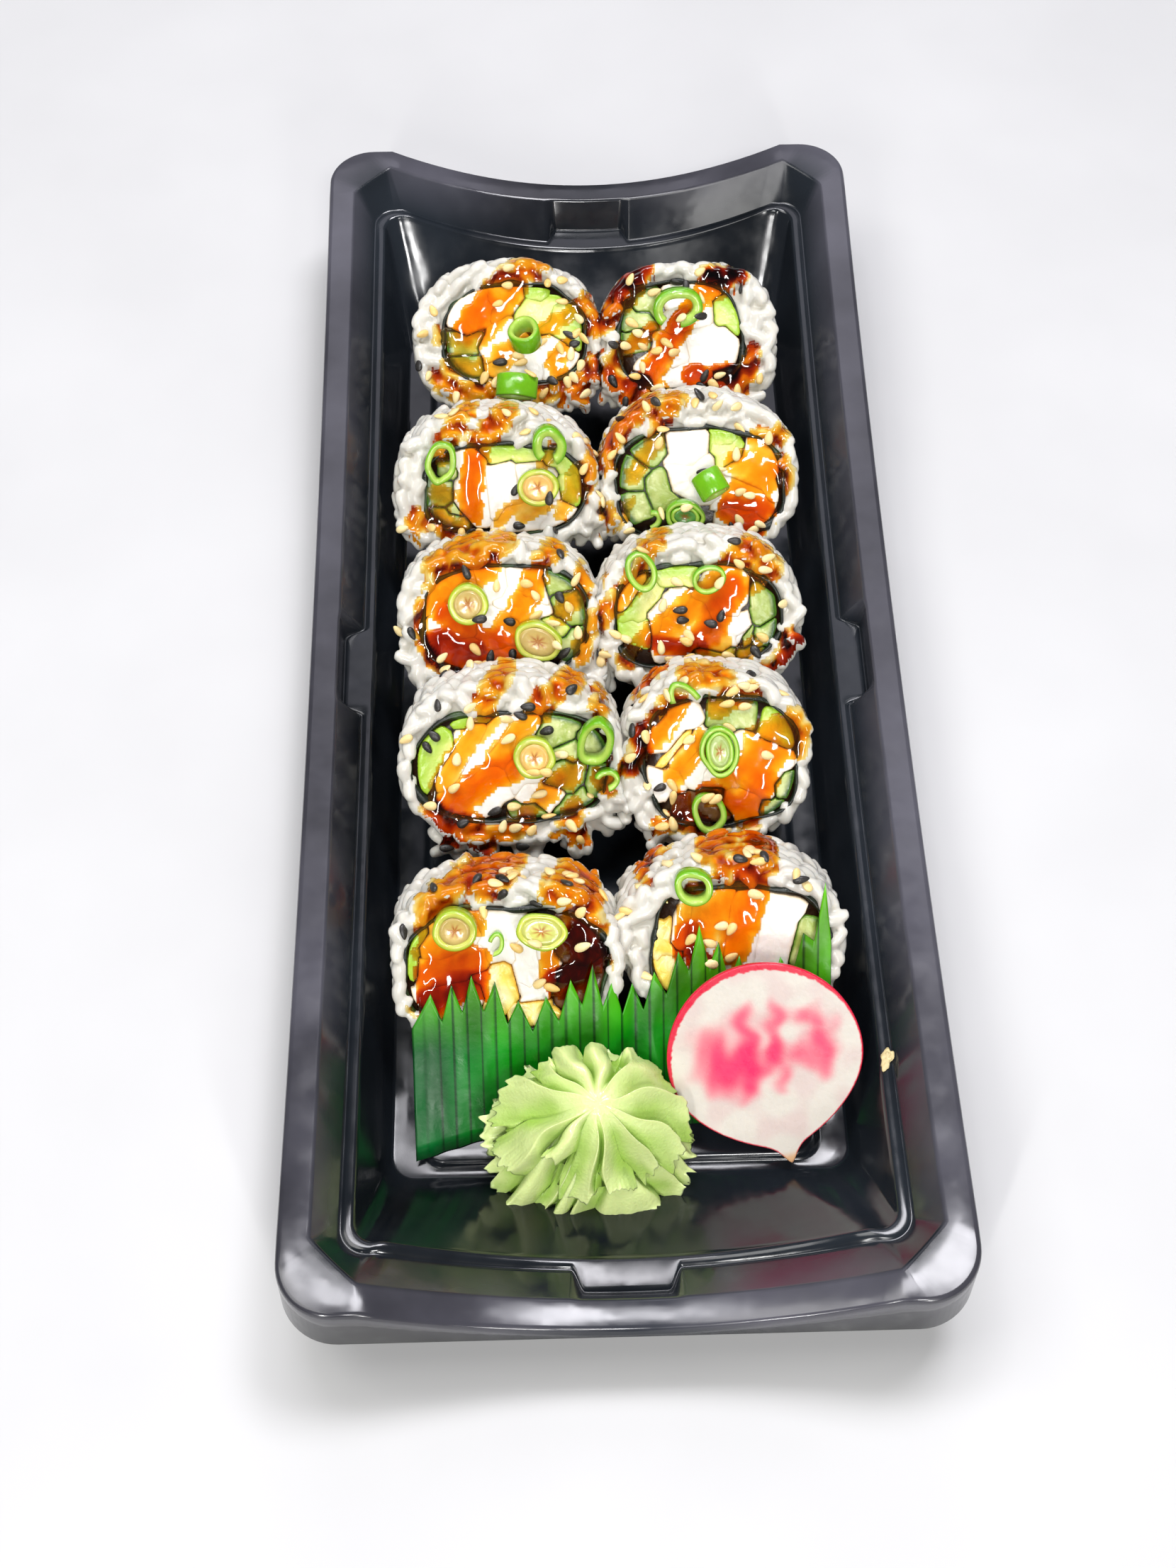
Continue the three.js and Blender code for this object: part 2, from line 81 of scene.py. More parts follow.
ROLLS = {
    1: roll((-19.1, 78.6), 43, 21, 40.8, 34, 2.3, (-14.1, 17.2, -10.1, 11.9)),
    2: roll((20.8, 76.6), 43, 21, 38.1, 34, 2.7, (-15.4, 12.0, -10.3, 13.3)),
    3: roll((-22.0, 36.2), 49, 21, 42.9, 33, 2.3, (-15.3, 18.9, -9.3, 10.0)),
    4: roll((21.3, 38.3), 47, 21, 41.2, 34, 2.3, (-17.6, 17.6, -13.5, 10.7)),
    5: roll((-21.6, 0.7), 46, 21, 39.6, 33, 2.8, (-15.2, 18.4, -9.9, 12.8)),
    6: roll((19.2, 1.9), 46, 21, 41.4, 33, 2.4, (-17.3, 16.4, -10.4, 11.3)),
    7: roll((-19.1, -31.2), 47, 20, 43.0, 33, 2.4, (-19.0, 19.6, -11.6, 10.2)),
    8: roll((20.7, -31.9), 46, 20, 35.6, 34, 2.5, (-14.2, 16.0, -13.1, 12.8)),
    9: roll((-20.6, -74.4), 47, 19, 42.0, 32, 2.5, (-18.7, 18.9, -12.8, 11.3)),
    10: roll((21.4, -70.7), 47, 19, 41.2, 32, 2.3, (-15.4, 17.6, -13.4, 10.9)),
}
RING_SQUARE = 2.7                  # how square the seaweed's outline is: 2 would be an oval

# What fills each slice, as (kind, across, up, length, width, turn in degrees) on its cut face.
FILLINGS = {
    1: [("chicken", -7, 6, 9, 5, 40), ("chicken", 0, 9, 8, 4, 25), ("avocado", 6, 10, 4, 3, -10),
        ("avocado", 7, 6, 7, 5, -10), ("avocado", 13, 3, 8, 6, -20), ("chicken", -2, -1, 9, 5, 35),
        ("chicken", 8, -3, 8, 4, 45), ("chicken", 11, -5, 6, 5, 45), ("chicken", -1, -6, 8, 5, 10),
        ("cucumber", -10, -1, 8, 4, 0), ("cucumber", -9, -6, 7, 5, 5), ("cucumber", -5, -9, 5, 3, 15)],
    2: [("cucumber", -8, 9, 5, 6, -20), ("cucumber", -11, 5, 7, 4, 10), ("cucumber", -12, 1, 5, 4, 10),
        ("chicken", 1, 11, 13, 4, 10), ("avocado", 9, 6, 6, 8, -10), ("chicken", 0, 5, 11, 5, 15),
        ("chicken", 5, 0, 11, 8, 15), ("chicken", -3, -1, 6, 7, 10), ("chicken", -6, -4, 7, 5, 55),
        ("chicken", -2, -7, 10, 3, 20), ("cucumber", -11, -9, 4, 3, 5)],
    3: [("chicken", -5, 1, 7, 13, -4), ("chicken", 2, 1, 7, 11, 15), ("avocado", 4, 8, 12, 4, 10),
        ("avocado", 15, 6, 7, 6, -30), ("avocado", 16, 1, 5, 6, 25), ("chicken", 9, 2, 9, 7, 0),
        ("chicken", 6, -4, 11, 5, 5), ("chicken", 13, -5, 5, 4, 10), ("cucumber", -12, 0, 6, 5, 0),
        ("cucumber", -10, -7, 7, 6, -10), ("cucumber", -9, 4, 4, 3, 0), ("cucumber", -8, -4, 4, 3, -20)],
    4: [("cucumber", -10, 6, 6, 6, 30), ("cucumber", -14, 1, 6, 5, -20), ("cucumber", -14, -6, 6, 5, 20),
        ("cucumber", -8, -2, 6, 8, 25), ("chicken", -3, 6, 8, 9, -15), ("chicken", -2, 0, 11, 8, 5),
        ("avocado", 5, 8, 5, 4, 10), ("avocado", 7, 5, 8, 6, 5), ("chicken", 12, 2, 12, 9, -35),
        ("chicken", 10, -4, 10, 7, -15), ("chicken", 9, -9, 8, 5, -5), ("avocado", 17, 1, 3, 6, -20)],
    5: [("chicken", -9, 8, 12, 6, 15), ("chicken", -2, 9, 5, 6, 5), ("avocado", -14, 7, 3, 3, 25),
        ("chicken", 2, 3, 13, 4, 40), ("chicken", 7, 8, 6, 9, 10), ("chicken", 6, 4, 9, 8, 30),
        ("chicken", -8, 2, 9, 8, 0), ("chicken", 1, -1, 11, 7, 15), ("chicken", -7, -5, 10, 6, 5),
        ("chicken", 3, -6, 10, 5, 5), ("cucumber", 12, 9, 5, 5, 20), ("cucumber", 14, 4, 6, 6, 5),
        ("cucumber", 16, -5, 5, 7, 15), ("avocado", 11, 0, 5, 5, 5)],
    6: [("avocado", -11, 3, 11, 5, 55), ("avocado", -13, -1, 6, 5, -20), ("avocado", -5, 9, 7, 5, 0),
        ("chicken", -5, 4, 6, 5, 10), ("chicken", -8, 1, 6, 6, 40), ("chicken", -14, 6, 8, 3, 55),
        ("chicken", -3, -1, 12, 9, 15), ("chicken", 5, 4, 9, 9, 35), ("chicken", 5, -3, 9, 7, 50),
        ("chicken", 9, -1, 3, 10, -20), ("cucumber", 12, 2, 6, 6, 50), ("cucumber", 10, -4, 4, 3, 30),
        ("cucumber", 14, -4, 7, 5, 15), ("cucumber", 11, -8, 7, 4, 20), ("cucumber", 4, -8, 7, 4, 15)],
    7: [("avocado", -15, 1, 10, 5, 55), ("chicken", -10, 2, 15, 4, 58), ("avocado", -7, 9, 6, 3, 30),
        ("chicken", -5, 3, 16, 3, 57), ("chicken", 0, 4, 13, 5, 57), ("chicken", -6, -5, 13, 7, 30),
        ("chicken", 2, -1, 8, 6, 20), ("cucumber", 9, 6, 6, 5, -25), ("cucumber", 11, 2, 4, 4, -20),
        ("cucumber", 11, -3, 6, 6, -30), ("cucumber", 17, -4, 5, 5, 5), ("chicken", 6, -7, 8, 4, -10),
        ("cucumber", 12, -9, 7, 5, 30), ("cucumber", 3, -10, 5, 4, 20), ("cucumber", 16, 3, 5, 5, 0)],
    8: [("avocado", -11, 9, 6, 4, 50), ("chicken", -9, 7, 10, 7, 50), ("egg", -8, 3, 9, 2, 50),
        ("chicken", -5, 2, 9, 4, 50), ("chicken", -3, 0, 9, 6, 45), ("chicken", 1, -2, 6, 8, 75),
        ("chicken", 8, -2, 12, 10, -28), ("chicken", 5, -8, 7, 5, -25), ("cucumber", 13, -5, 6, 5, 40),
        ("cucumber", 11, -9, 4, 3, -10), ("chicken", -10, -4, 6, 4, 5), ("cucumber", 3, 9, 8, 4, -5),
        ("mushroom", -3, -9, 9, 5, 10), ("avocado", 12, 6, 5, 4, -20)],
    9: [("avocado", -17, 3, 3, 8, -20), ("chicken", -10, 5, 12, 6, 35), ("chicken", -9, 0, 13, 6, 10),
        ("chicken", -9, -6, 12, 6, 10), ("chicken", -1, 5, 7, 10, 5), ("egg", -2, -4, 8, 9, 20),
        ("chicken", 4, -1, 5, 11, 5), ("chicken", 8, 0, 4, 10, 8), ("chicken", 5, -5, 6, 5, 5),
        ("mushroom", 13, 4, 8, 8, -20), ("mushroom", 13, -4, 9, 7, 5), ("egg", 5, -9, 7, 4, 5)],
    10: [("egg", -12, 8, 8, 4, 60), ("egg", -13, 1, 4, 7, 5), ("chicken", -9, 5, 3, 12, -15),
         ("egg", -12, -6, 4, 8, -5), ("chicken", -4, 3, 8, 14, -5), ("chicken", 2, 2, 7, 13, -10),
         ("chicken", 8, 1, 7, 12, -12), ("cucumber", 14, -1, 5, 9, -15), ("chicken", -4, -6, 8, 6, 5),
         ("cucumber", 13, -8, 4, 4, 0), ("chicken", 4, -9, 9, 5, 0)],
}

# Glaze drizzled over each slice, as (depth, half width, points) in the same coordinates. Past the
# slice's outline the line goes on down its side, and each millimetre counts as RIM_STRETCH.
RIM_STRETCH = 4.0
DRIZZLE = {
    1: [(0.9, 3.4, [(7, 17), (2, 13), (-2, 10), (-8, 4)]), (1.5, 3.4, [(-4, 8), (-7, 5), (-9, 2)]),
        (1.2, 2.4, [(3, 11), (0, 7), (-5, 1)]), (0.9, 2.3, [(20, 9), (15, 6), (10, 3), (5, 0), (-2, -3)]),
        (1.0, 2.3, [(13, -2), (10, -5), (12, -8)]), (0.8, 2.2, [(20, -6), (16, -9), (11, -11), (5, -12)]),
        (0.5, 2.2, [(-14, 1), (-10, -1), (-7, -1)]),
        (1.3, 2.6, [(20, -6), (17, -11), (13, -14)]), (0.8, 2.6, [(-12, -5), (-8, -6), (-3, -6), (0, -4)]),
        (0.9, 2.5, [(-15, -9), (-12, -11), (-8, -11), (2, -10)])],
    2: [(2.8, 2.4, [(-10, 16), (-13, 13), (-17, 11)]), (1.2, 2.8, [(-11, 13), (-14, 9), (-17, 7), (-21, 4)]),
        (3.6, 2.4, [(11, 15), (8, 14), (5, 14)]), (1.3, 3.0, [(7, 12), (3, 10), (0, 6), (-3, 2)]),
        (2.0, 3.0, [(-1, 5), (-4, 0), (-6, -3), (-9, -7), (-12, -9)]),
        (1.4, 2.2, [(-14, -1), (-10, 1), (-8, 3)]), (2.6, 3.0, [(1, -7), (4, -8), (9, -7)]),
        (1.4, 2.0, [(14, -3), (13, -7), (11, -10)]),
        (0.8, 2.0, [(-15, -2), (-17, -5), (-20, -7)]), (1.0, 2.4, [(-13, -9), (-9, -10), (-6, -10)]),
        (1.6, 2.4, [(-18, -6), (-15, -12), (-10, -15)])],
    3: [(0.8, 2.2, [(-6, 18), (-8, 14), (-10, 10), (-11, 7)]),
        (0.9, 2.6, [(3, 17), (0, 13), (-3, 10), (-3, 7)]),
        (1.7, 2.8, [(-4, 7), (-5, 1), (-5, -5)]), (0.8, 2.0, [(7, -2), (3, -4), (1, -6)]),
        (0.7, 1.8, [(12, 8), (10, 5), (6, -1)]), (0.7, 2.0, [(17, 4), (16, 0), (14, -5)]),
        (0.8, 1.6, [(11, -3), (8, -5), (6, -6)]), (0.8, 2.6, [(-12, 0), (-10, -1)]),
        (1.1, 2.8, [(-13, -5), (-10, -7), (-8, -9)]), (0.9, 1.8, [(-17, -5), (-18, -10), (-16, -13)]),
        (0.9, 2.0, [(22, 8), (20, 4), (18, -1)])],
    4: [(1.3, 2.6, [(-11, 17), (-14, 14), (-17, 11), (-19, 8)]), (1.0, 2.2, [(-5, 17), (-7, 14), (-8, 12)]),
        (0.8, 2.4, [(-9, 8), (-12, 4), (-14, 1)]), (0.6, 1.6, [(-15, -5), (-16, -8)]),
        (0.9, 2.0, [(17, 9), (14, 7), (11, 8)]), (1.0, 3.2, [(16, 2), (12, 3), (8, 3)]),
        (1.2, 3.6, [(16, 0), (11, -2), (8, -4)]), (2.4, 3.2, [(13, -7), (9, -8), (6, -7)]),
        (2.6, 2.2, [(12, -11), (10, -12), (8, -11)]), (0.8, 1.8, [(-20, -6), (-19, -10)]),
        (0.8, 2.4, [(-19, 8), (-22, 5), (-24, 1)])],
    5: [(0.9, 2.6, [(-5, 19), (-9, 16), (-12, 13)]), (0.8, 2.6, [(2, 19), (0, 16), (-4, 14), (-7, 12)]),
        (0.8, 2.2, [(14, 17), (11, 15), (9, 13)]), (1.2, 3.4, [(-2, 12), (-6, 10), (-10, 8), (-12, 5)]),
        (2.0, 3.2, [(-10, 3), (-7, 1), (-4, -2)]), (3.2, 3.4, [(-11, -3), (-8, -5), (-5, -6)]),
        (1.2, 3.2, [(8, 10), (6, 6), (3, 1), (0, -2)]), (2.0, 3.0, [(0, -3), (3, -5), (-2, -6)]),
        (0.9, 2.4, [(14, 5), (13, 2)]), (0.9, 2.2, [(17, -3), (17, -6)]),
        (0.8, 1.6, [(-15, 5), (-15, 0), (-15, -3)]), (0.9, 2.2, [(18, 11), (17, 8), (16, 5)]),
        (2.4, 1.8, [(-13, -2), (-13, -6), (-9, -9)])],
    6: [(0.9, 2.2, [(-8, 18), (-9, 16), (-11, 13)]), (0.9, 2.4, [(-12, 9), (-15, 5), (-18, 2), (-21, 0)]),
        (1.0, 3.0, [(12, 14), (8, 12), (5, 9)]), (1.0, 2.6, [(14, 10), (11, 7)]),
        (1.2, 3.4, [(3, 6), (-1, 3), (-6, -1), (-10, -4)]), (2.0, 3.4, [(7, 6), (4, 2), (2, -3), (0, -5)]),
        (3.2, 2.0, [(-9, -5), (-5, -6), (0, -6)]), (0.7, 2.2, [(5, -5), (3, -7)]),
        (1.0, 2.2, [(11, -6), (8, -8)]), (3.2, 3.8, [(20, -6), (19, -10), (15, -13), (10, -13)]),
        (0.8, 2.0, [(-13, -5), (-15, -8)])],
    7: [(0.8, 2.2, [(-1, 19), (-3, 16), (-5, 12)]), (0.9, 2.2, [(15, 17), (11, 15), (7, 13), (5, 11)]),
        (0.9, 2.6, [(-4, 9), (-8, 5), (-11, 1), (-14, -4)]), (1.0, 2.6, [(6, 10), (1, 6), (-3, 1)]),
        (1.8, 3.4, [(2, 0), (-5, -3), (-10, -7), (-14, -9)]), (1.2, 2.6, [(9, -4), (6, -7)]),
        (1.0, 2.6, [(12, -1), (11, -4)]), (1.3, 2.2, [(17, -3), (18, -5)]),
        (1.4, 3.0, [(-15, -11), (-12, -13), (-8, -12)]), (3.0, 3.6, [(-16, -14), (-12, -18), (-7, -19)]),
        (1.2, 2.4, [(3, -10), (2, -12), (-4, -15), (-8, -18)]), (1.0, 2.4, [(12, -9), (11, -12)]),
        (1.3, 2.0, [(12, -15), (8, -16)]), (0.9, 2.0, [(19, 12), (17, 10)])],
    8: [(1.6, 1.4, [(-11, 19), (-14, 17), (-17, 13)]), (0.9, 2.4, [(1, 17), (-2, 17), (-5, 17)]),
        (0.9, 2.4, [(6, 13), (2, 11), (0, 10)]), (1.3, 3.0, [(-8, 11), (-10, 8), (-12, 5)]),
        (1.1, 2.6, [(-3, 4), (-5, 1), (-8, -3)]), (1.4, 3.8, [(11, 1), (7, -1), (3, -3)]),
        (1.8, 3.6, [(9, -5), (7, -8), (6, -10)]), (1.1, 3.0, [(14, 7), (10, 5), (8, 4)]),
        (1.1, 2.4, [(16, 5), (15, 2)]), (2.2, 2.4, [(-7, -8), (-6, -11), (-3, -13)]),
        (2.0, 2.6, [(3, -9), (1, -8), (-2, -6)]), (2.8, 2.0, [(-15, 5), (-14, 2), (-17, -1)]),
        (1.4, 2.0, [(-8, -12), (-11, -13)])],
    9: [(1.4, 2.8, [(0, 23), (-3, 21), (-6, 18)]), (1.2, 2.6, [(3, 21), (0, 18), (-3, 15)]),
        (0.9, 2.6, [(-6, 17), (-10, 15), (-13, 12)]), (0.8, 2.0, [(-14, 10), (-15, 7)]),
        (1.0, 2.8, [(16, 17), (12, 14), (9, 13)]), (1.2, 2.6, [(19, 14), (15, 11), (13, 9), (16, 7)]),
        (1.2, 3.2, [(-6, 8), (-10, 5), (-14, 3)]), (2.0, 3.6, [(-6, 1), (-10, 0), (-14, -2)]),
        (3.6, 3.4, [(-8, -4), (-11, -6), (-14, -7)]), (1.2, 2.4, [(9, 3), (8, -2)]),
        (4.2, 3.4, [(13, 5), (16, 1), (13, -3), (10, -4)]), (2.4, 2.2, [(-5, -2), (-5, -6)])],
    10: [(1.6, 1.8, [(-11, 21), (-16, 17), (-18, 13)]), (1.2, 2.6, [(2, 21), (-1, 19), (-4, 18)]),
         (1.0, 2.2, [(7, 16), (5, 14), (3, 13)]), (1.4, 2.4, [(2, 15), (3, 12), (5, 9)]),
         (0.9, 2.2, [(-7, 10), (-8, 6), (-9, 2)]), (1.3, 3.6, [(0, 8), (-4, 5), (-6, 2)]),
         (1.6, 3.4, [(3, 6), (1, 1), (0, -2)]), (2.4, 2.6, [(-8, 2), (-9, -2)]),
         (3.6, 2.4, [(-7, -3), (-4, -5)]), (2.0, 1.8, [(9, 18), (5, 18)]), (1.3, 1.8, [(-2, 15), (-2, 13)])],
}

# Where sesame seeds lie on each slice, as (across, up).
BLACK_SEEDS = {
    1: [(-2, -5), (14, 2), (15, 0), (-20, -5), (10, -10)],
    2: [(-17, 0), (-2, 13), (0, 13), (12, 12), (2, 2), (4, -7), (3, -10), (-8, 1), (-17, -8), (-6, -13),
        (-14, -13)],
    3: [(4, 1), (12, -4), (5, -7), (12, -8), (15, -12), (-5, -15)],
    4: [(1, 1), (-17, 15), (-9, 16), (7, -11), (0, 19)],
    5: [(-6, 12), (13, 7), (2, 1), (-3, -1), (3, -6), (-2, -6), (13, -5), (-17, -1), (-11, -14), (13, 15)],
    6: [(-4, 2), (-3, 0), (2, -1), (4, 1), (11, -7), (-1, -8), (7, 17)],
    7: [(2, 10), (4, 12), (12, 15), (-16, 4), (-15, 7), (7, 7), (-10, -12), (-4, -9), (-13, -16), (2, -16),
        (-14, 12)],
    8: [(-16, 7), (-11, -5), (7, 21), (-15, 18)],
    9: [(-5, 19), (0, 18), (0, 14), (12, 17), (6, 12), (-19, 7), (-13, 17)],
    10: [(6, 17), (12, 12), (1, 17)],
}
GOLDEN_SEEDS = {
    1: [(0, 12), (-2, 8), (1, 15), (9, 12), (12, 12), (12, 9), (16, 5), (15, 2), (17, 0), (12, -2),
        (14, -3), (8, -1), (2, -3), (3, -5), (-5, -8), (-3, -9), (16, -5), (13, -9), (15, -8), (17, -11),
        (-12, -13), (-18, -7), (-19, 2), (-16, 6), (5, -13), (-15, -14), (8, -12)],
    2: [(-12, 14), (-7, 12), (-12, 5), (-11, 3), (-14, 0), (-10, 0), (-5, 0), (-7, -2), (-3, -2), (3, 6),
        (-2, 2), (-10, -5), (-12, -7), (-7, -9), (-4, -10), (-6, -11), (7, -7), (6, -9), (11, -11),
        (5, -11), (7, -13), (-8, -13), (16, -8), (3, 15)],
    3: [(-8, 18), (-11, 17), (3, 17), (8, 19), (12, 19), (7, 13), (19, 5), (22, -1), (-14, -7), (-20, -7),
        (-4, -8), (0, -8), (-2, -10), (-7, -9), (-10, -10), (1, -8), (8, -11), (18, 13), (19, 15),
        (21, 17)],
    4: [(-8, 11), (-9, 8), (-17, 9), (-18, 6), (8, 5), (4, 3), (9, 11), (15, 8), (4, 15), (7, 15),
        (-1, 16), (8, -3), (10, -4), (8, -9), (11, -11), (13, -10), (9, -13), (-9, -10), (-15, -11),
        (-21, -3), (-3, -10), (3, 17), (-11, 16)],
    5: [(0, 9), (6, 9), (8, 7), (8, 3), (11, 1), (14, 5), (16, 10), (16, -1), (-11, -6), (-5, -5),
        (-4, -8), (-2, -7), (-1, -8), (12, -7), (21, -5), (-20, 3), (-11, -12), (-10, -13), (-5, -15)],
    6: [(-12, 12), (-4, 8), (-7, 3), (4, 5), (8, 11), (13, 10), (14, 12), (-17, -2), (-15, -3), (-8, -6),
        (-3, -5), (-2, -3), (6, -7), (13, -3), (-6, -8), (2, -8), (6, -9), (10, -10), (17, 3), (-19, -6),
        (-2, -12), (-10, -14)],
    7: [(-1, 9), (-8, 9), (-8, 12), (-11, 1), (-11, -4), (0, 5), (10, 2), (15, -6), (4, -4), (7, -4),
        (5, -6), (0, -8), (7, -11), (-16, -8), (1, -13), (4, -13), (-2, -13), (11, -13), (13, -15),
        (15, -16), (10, -18), (-20, 6)],
    8: [(-9, 12), (-14, 14), (-6, 16), (2, 12), (3, 14), (5, 15), (7, 15), (3, 8), (-14, 5), (-5, 5),
        (-17, 1), (-13, -4), (-9, -4), (-8, -7), (-10, -9), (-9, -12), (-11, -13), (-2, -9), (-1, -10),
        (5, -14), (7, -14), (10, 1), (13, 15), (2, -13), (6, 12)],
    9: [(1, 23), (2, 22), (1, 21), (4, 20), (2, 19), (-1, 16), (-4, 11), (8, 22), (12, 22), (13, 21),
        (14, 19), (18, 17), (11, 12), (14, 10), (14, 3), (2, 4), (5, 0), (6, -3), (8, -4), (21, 12)],
    10: [(-12, 19), (-6, 19), (-11, 22), (-12, 21), (3, 21), (4, 20), (5, 20), (3, 18), (5, 16), (4, 9),
        (12, 13), (-2, 4), (0, 3), (-8, 1), (-4, 0), (-4, -4), (0, -3), (-16, -6), (-17, 13), (-19, 8),
        (14, 11)],
}


def onion(on, at, radii, length, wall, turn, tip, sweep=360, core=None):
    """A spring onion slice lying on slice number on; core says what fills it."""
    return dict(on=on, at=at, radii=radii, length=length, wall=wall, turn=turn, tip=tip, sweep=sweep,
                core=core)


ONIONS = [
    onion(1, (4.0, 0.9), (3.4, 4.4), 4.0, 1.0, 15, -50), onion(1, (2.0, -10.0), (4.6, 2.4), 5.0, 0.9, -6, 74),
    onion(2, (-2.5, 7.6), (5.6, 4.3), 3.2, 1.6, 10, 14, 312),
    onion(3, (-11.0, 6.8), (3.2, 4.6), 2.4, 1.0, -12, 6),
    onion(3, (11.6, 10.2), (3.5, 4.2), 3.2, 1.5, 20, 12, 300),
    onion(3, (9.1, 1.2), (4.3, 4.0), 2.6, 1.4, 0, 0, 360, "sauce"),
    onion(4, (-3.4, -7.4), (4.2, 3.4), 3.0, 1.3, -12, 8, 360, "leaf"),
    onion(4, (1.8, -0.6), (3.4, 2.6), 5.4, 1.0, 30, 70),
    onion(4, (-11.2, -8.6), (3.2, 2.2), 2.2, 0.9, 24, 0, 150),
    onion(4, (5.4, -8.6), (4.0, 3.0), 2.4, 0.9, -52, 0, 120),
    onion(5, (-5.7, 5.6), (4.1, 4.2), 3.2, 1.5, 0, 0, 360, "tan"),
    onion(5, (8.1, -2.2), (4.9, 3.8), 3.0, 1.3, -22, 4, 360, "tan"),
    onion(6, (-11.8, 10.4), (3.0, 4.3), 2.4, 0.9, 20, 4), onion(6, (1.8, 8.4), (3.5, 2.8), 2.0, 0.7, 16, 4),
    onion(7, (4.5, 1.8), (4.0, 4.0), 2.8, 1.5, 0, 0, 360, "sauce"),
    onion(7, (16.4, 5.0), (3.5, 5.0), 2.8, 1.1, -18, 18),
    onion(7, (18.4, -3.0), (2.6, 2.2), 3.0, 0.8, 10, 0, 240),
    onion(8, (-5.4, 11.4), (5.6, 3.0), 1.6, 0.9, 128, 0, 150),
    onion(8, (0.4, 2.6), (3.8, 5.0), 2.8, 1.3, 4, 0, 360, "inner"),
    onion(8, (-1.7, -9.8), (3.3, 4.1), 2.4, 0.9, 14, 0),
    onion(9, (-8.9, 8.2), (4.0, 3.9), 3.4, 1.5, 0, 0, 360, "tan"),
    onion(9, (6.8, 7.8), (4.7, 3.4), 3.4, 1.3, -8, -16, 360, "pale"),
    onion(9, (-1.6, 4.8), (1.5, 2.4), 1.4, 0.6, -14, 0, 260),
    onion(10, (-7.3, 12.0), (3.7, 3.3), 3.0, 1.0, -28, 6),
]

GRASS = dict(
    thickness=0.4, left=(-38.2, 4.5), right=(39.6, 16), lift=0.75, valley=6.4,
    foot=[(-39, -102.1), (-32, -99.6), (-26, -97.8), (-16, -96.6), (-4, -96.0), (14, -95.6), (28, -94.6),
          (40, -95.4)],
    tips=[(-34.5, 11.3), (-30.6, 13.2), (-26.9, 14.8), (-22.6, 13.5), (-18.4, 9.6), (-13.3, 10.3),
          (-8.7, 13.5), (-4.6, 16.4), (-1.0, 12.2), (2.7, 9.2), (6.8, 11.1), (11.3, 15.0), (15.2, 20.2),
          (18.8, 16.6), (22.6, 14.0), (26.4, 12.5), (30.2, 13.5), (34.4, 18.0), (38.4, 27.7)])
VEIN_PITCH = 2.6                   # between the grass's moulded lines

WASABI = dict(centre=(-6.1, -101.7, 14.5), radii=(19.2, 14.6), slant=24, apex=(-4.4, -101.2, 25.6),
              foot=(-6.1, -101.2), foot_radii=(9, 3))
RADISH = dict(centre=(26.6, -90.8, 19.8), lean=50, spin=13.6, half_width=18.0, top=18.8, bottom=19.0,
              root=22.3, root_half=0.16, depth=7.5)


# ---------------------------------------------------------------- small helpers
def smoothstep(low, high, value):
    share = np.clip((value - low) / (high - low), 0, 1)
    return share * share * (3 - 2 * share)


def mix(a, b, share):
    share = np.asarray(share)[..., None]
    return np.asarray(a) * (1 - share) + np.asarray(b) * share


def mix_numbers(a, b, share):
    return a * (1 - share) + b * share


RIPPLE_WAVES = 7


def ripple(points, wavelength, seed):
    """Smooth uneven values, about -1 to 1, at each point: a sum of a few slanted waves."""
    points = np.asarray(points, dtype=float)
    numbers = np.random.default_rng(seed)
    directions = numbers.normal(size=(RIPPLE_WAVES, points.shape[-1]))
    directions /= np.linalg.norm(directions, axis=1)[:, None]
    spread = numbers.uniform(0.7, 1.5, RIPPLE_WAVES)
    phases = numbers.uniform(0, 2 * math.pi, RIPPLE_WAVES)
    angle = (points @ directions.T) * (2 * math.pi / wavelength) * spread + phases
    return np.sin(angle).sum(axis=-1) / math.sqrt(RIPPLE_WAVES)


def circle(count):
    return np.arange(count) / count * 2 * math.pi


def on_circle(angle):
    return np.column_stack([np.cos(angle), np.sin(angle)])


def oval(angle, half_x, half_y, z, middle=(0, 0)):
    """Points at angles round a level oval at height z."""
    z = np.broadcast_to(z, np.shape(angle))
    return np.column_stack([middle[0] + np.cos(angle) * half_x, middle[1] + np.sin(angle) * half_y, z])


def turned(x, y, angle):
    return x * math.cos(angle) - y * math.sin(angle), x * math.sin(angle) + y * math.cos(angle)


class Mesh:
    """Gathers points, faces and a colour for each point, in millimetres."""

    def __init__(self):
        self.points = []
        self.faces = []
        self.tints = []
        self.count = 0

    def add(self, points, faces, tint):
        points = np.asarray(points, dtype=float).reshape(-1, 3)
        self.points.append(points)
        self.faces.extend(tuple(index + self.count for index in face) for face in faces)
        self.tints.append(np.broadcast_to(np.asarray(tint, dtype=float), points.shape))
        self.count += len(points)

    def add_copies(self, copies, faces, tints):
        """copies is (pieces, points, 3). Each piece has the same faces and one tint."""
        pieces, size, _ = copies.shape
        shifts = (self.count + np.arange(pieces) * size)[:, None]
        for face in faces:
            self.faces.extend(map(tuple, (shifts + np.asarray(face)[None]).tolist()))
        self.points.append(copies.reshape(-1, 3))
        self.tints.append(np.repeat(tints, size, axis=0))
        self.count += pieces * size

    def arrays(self):
        return np.concatenate(self.points), self.faces, np.concatenate(self.tints)


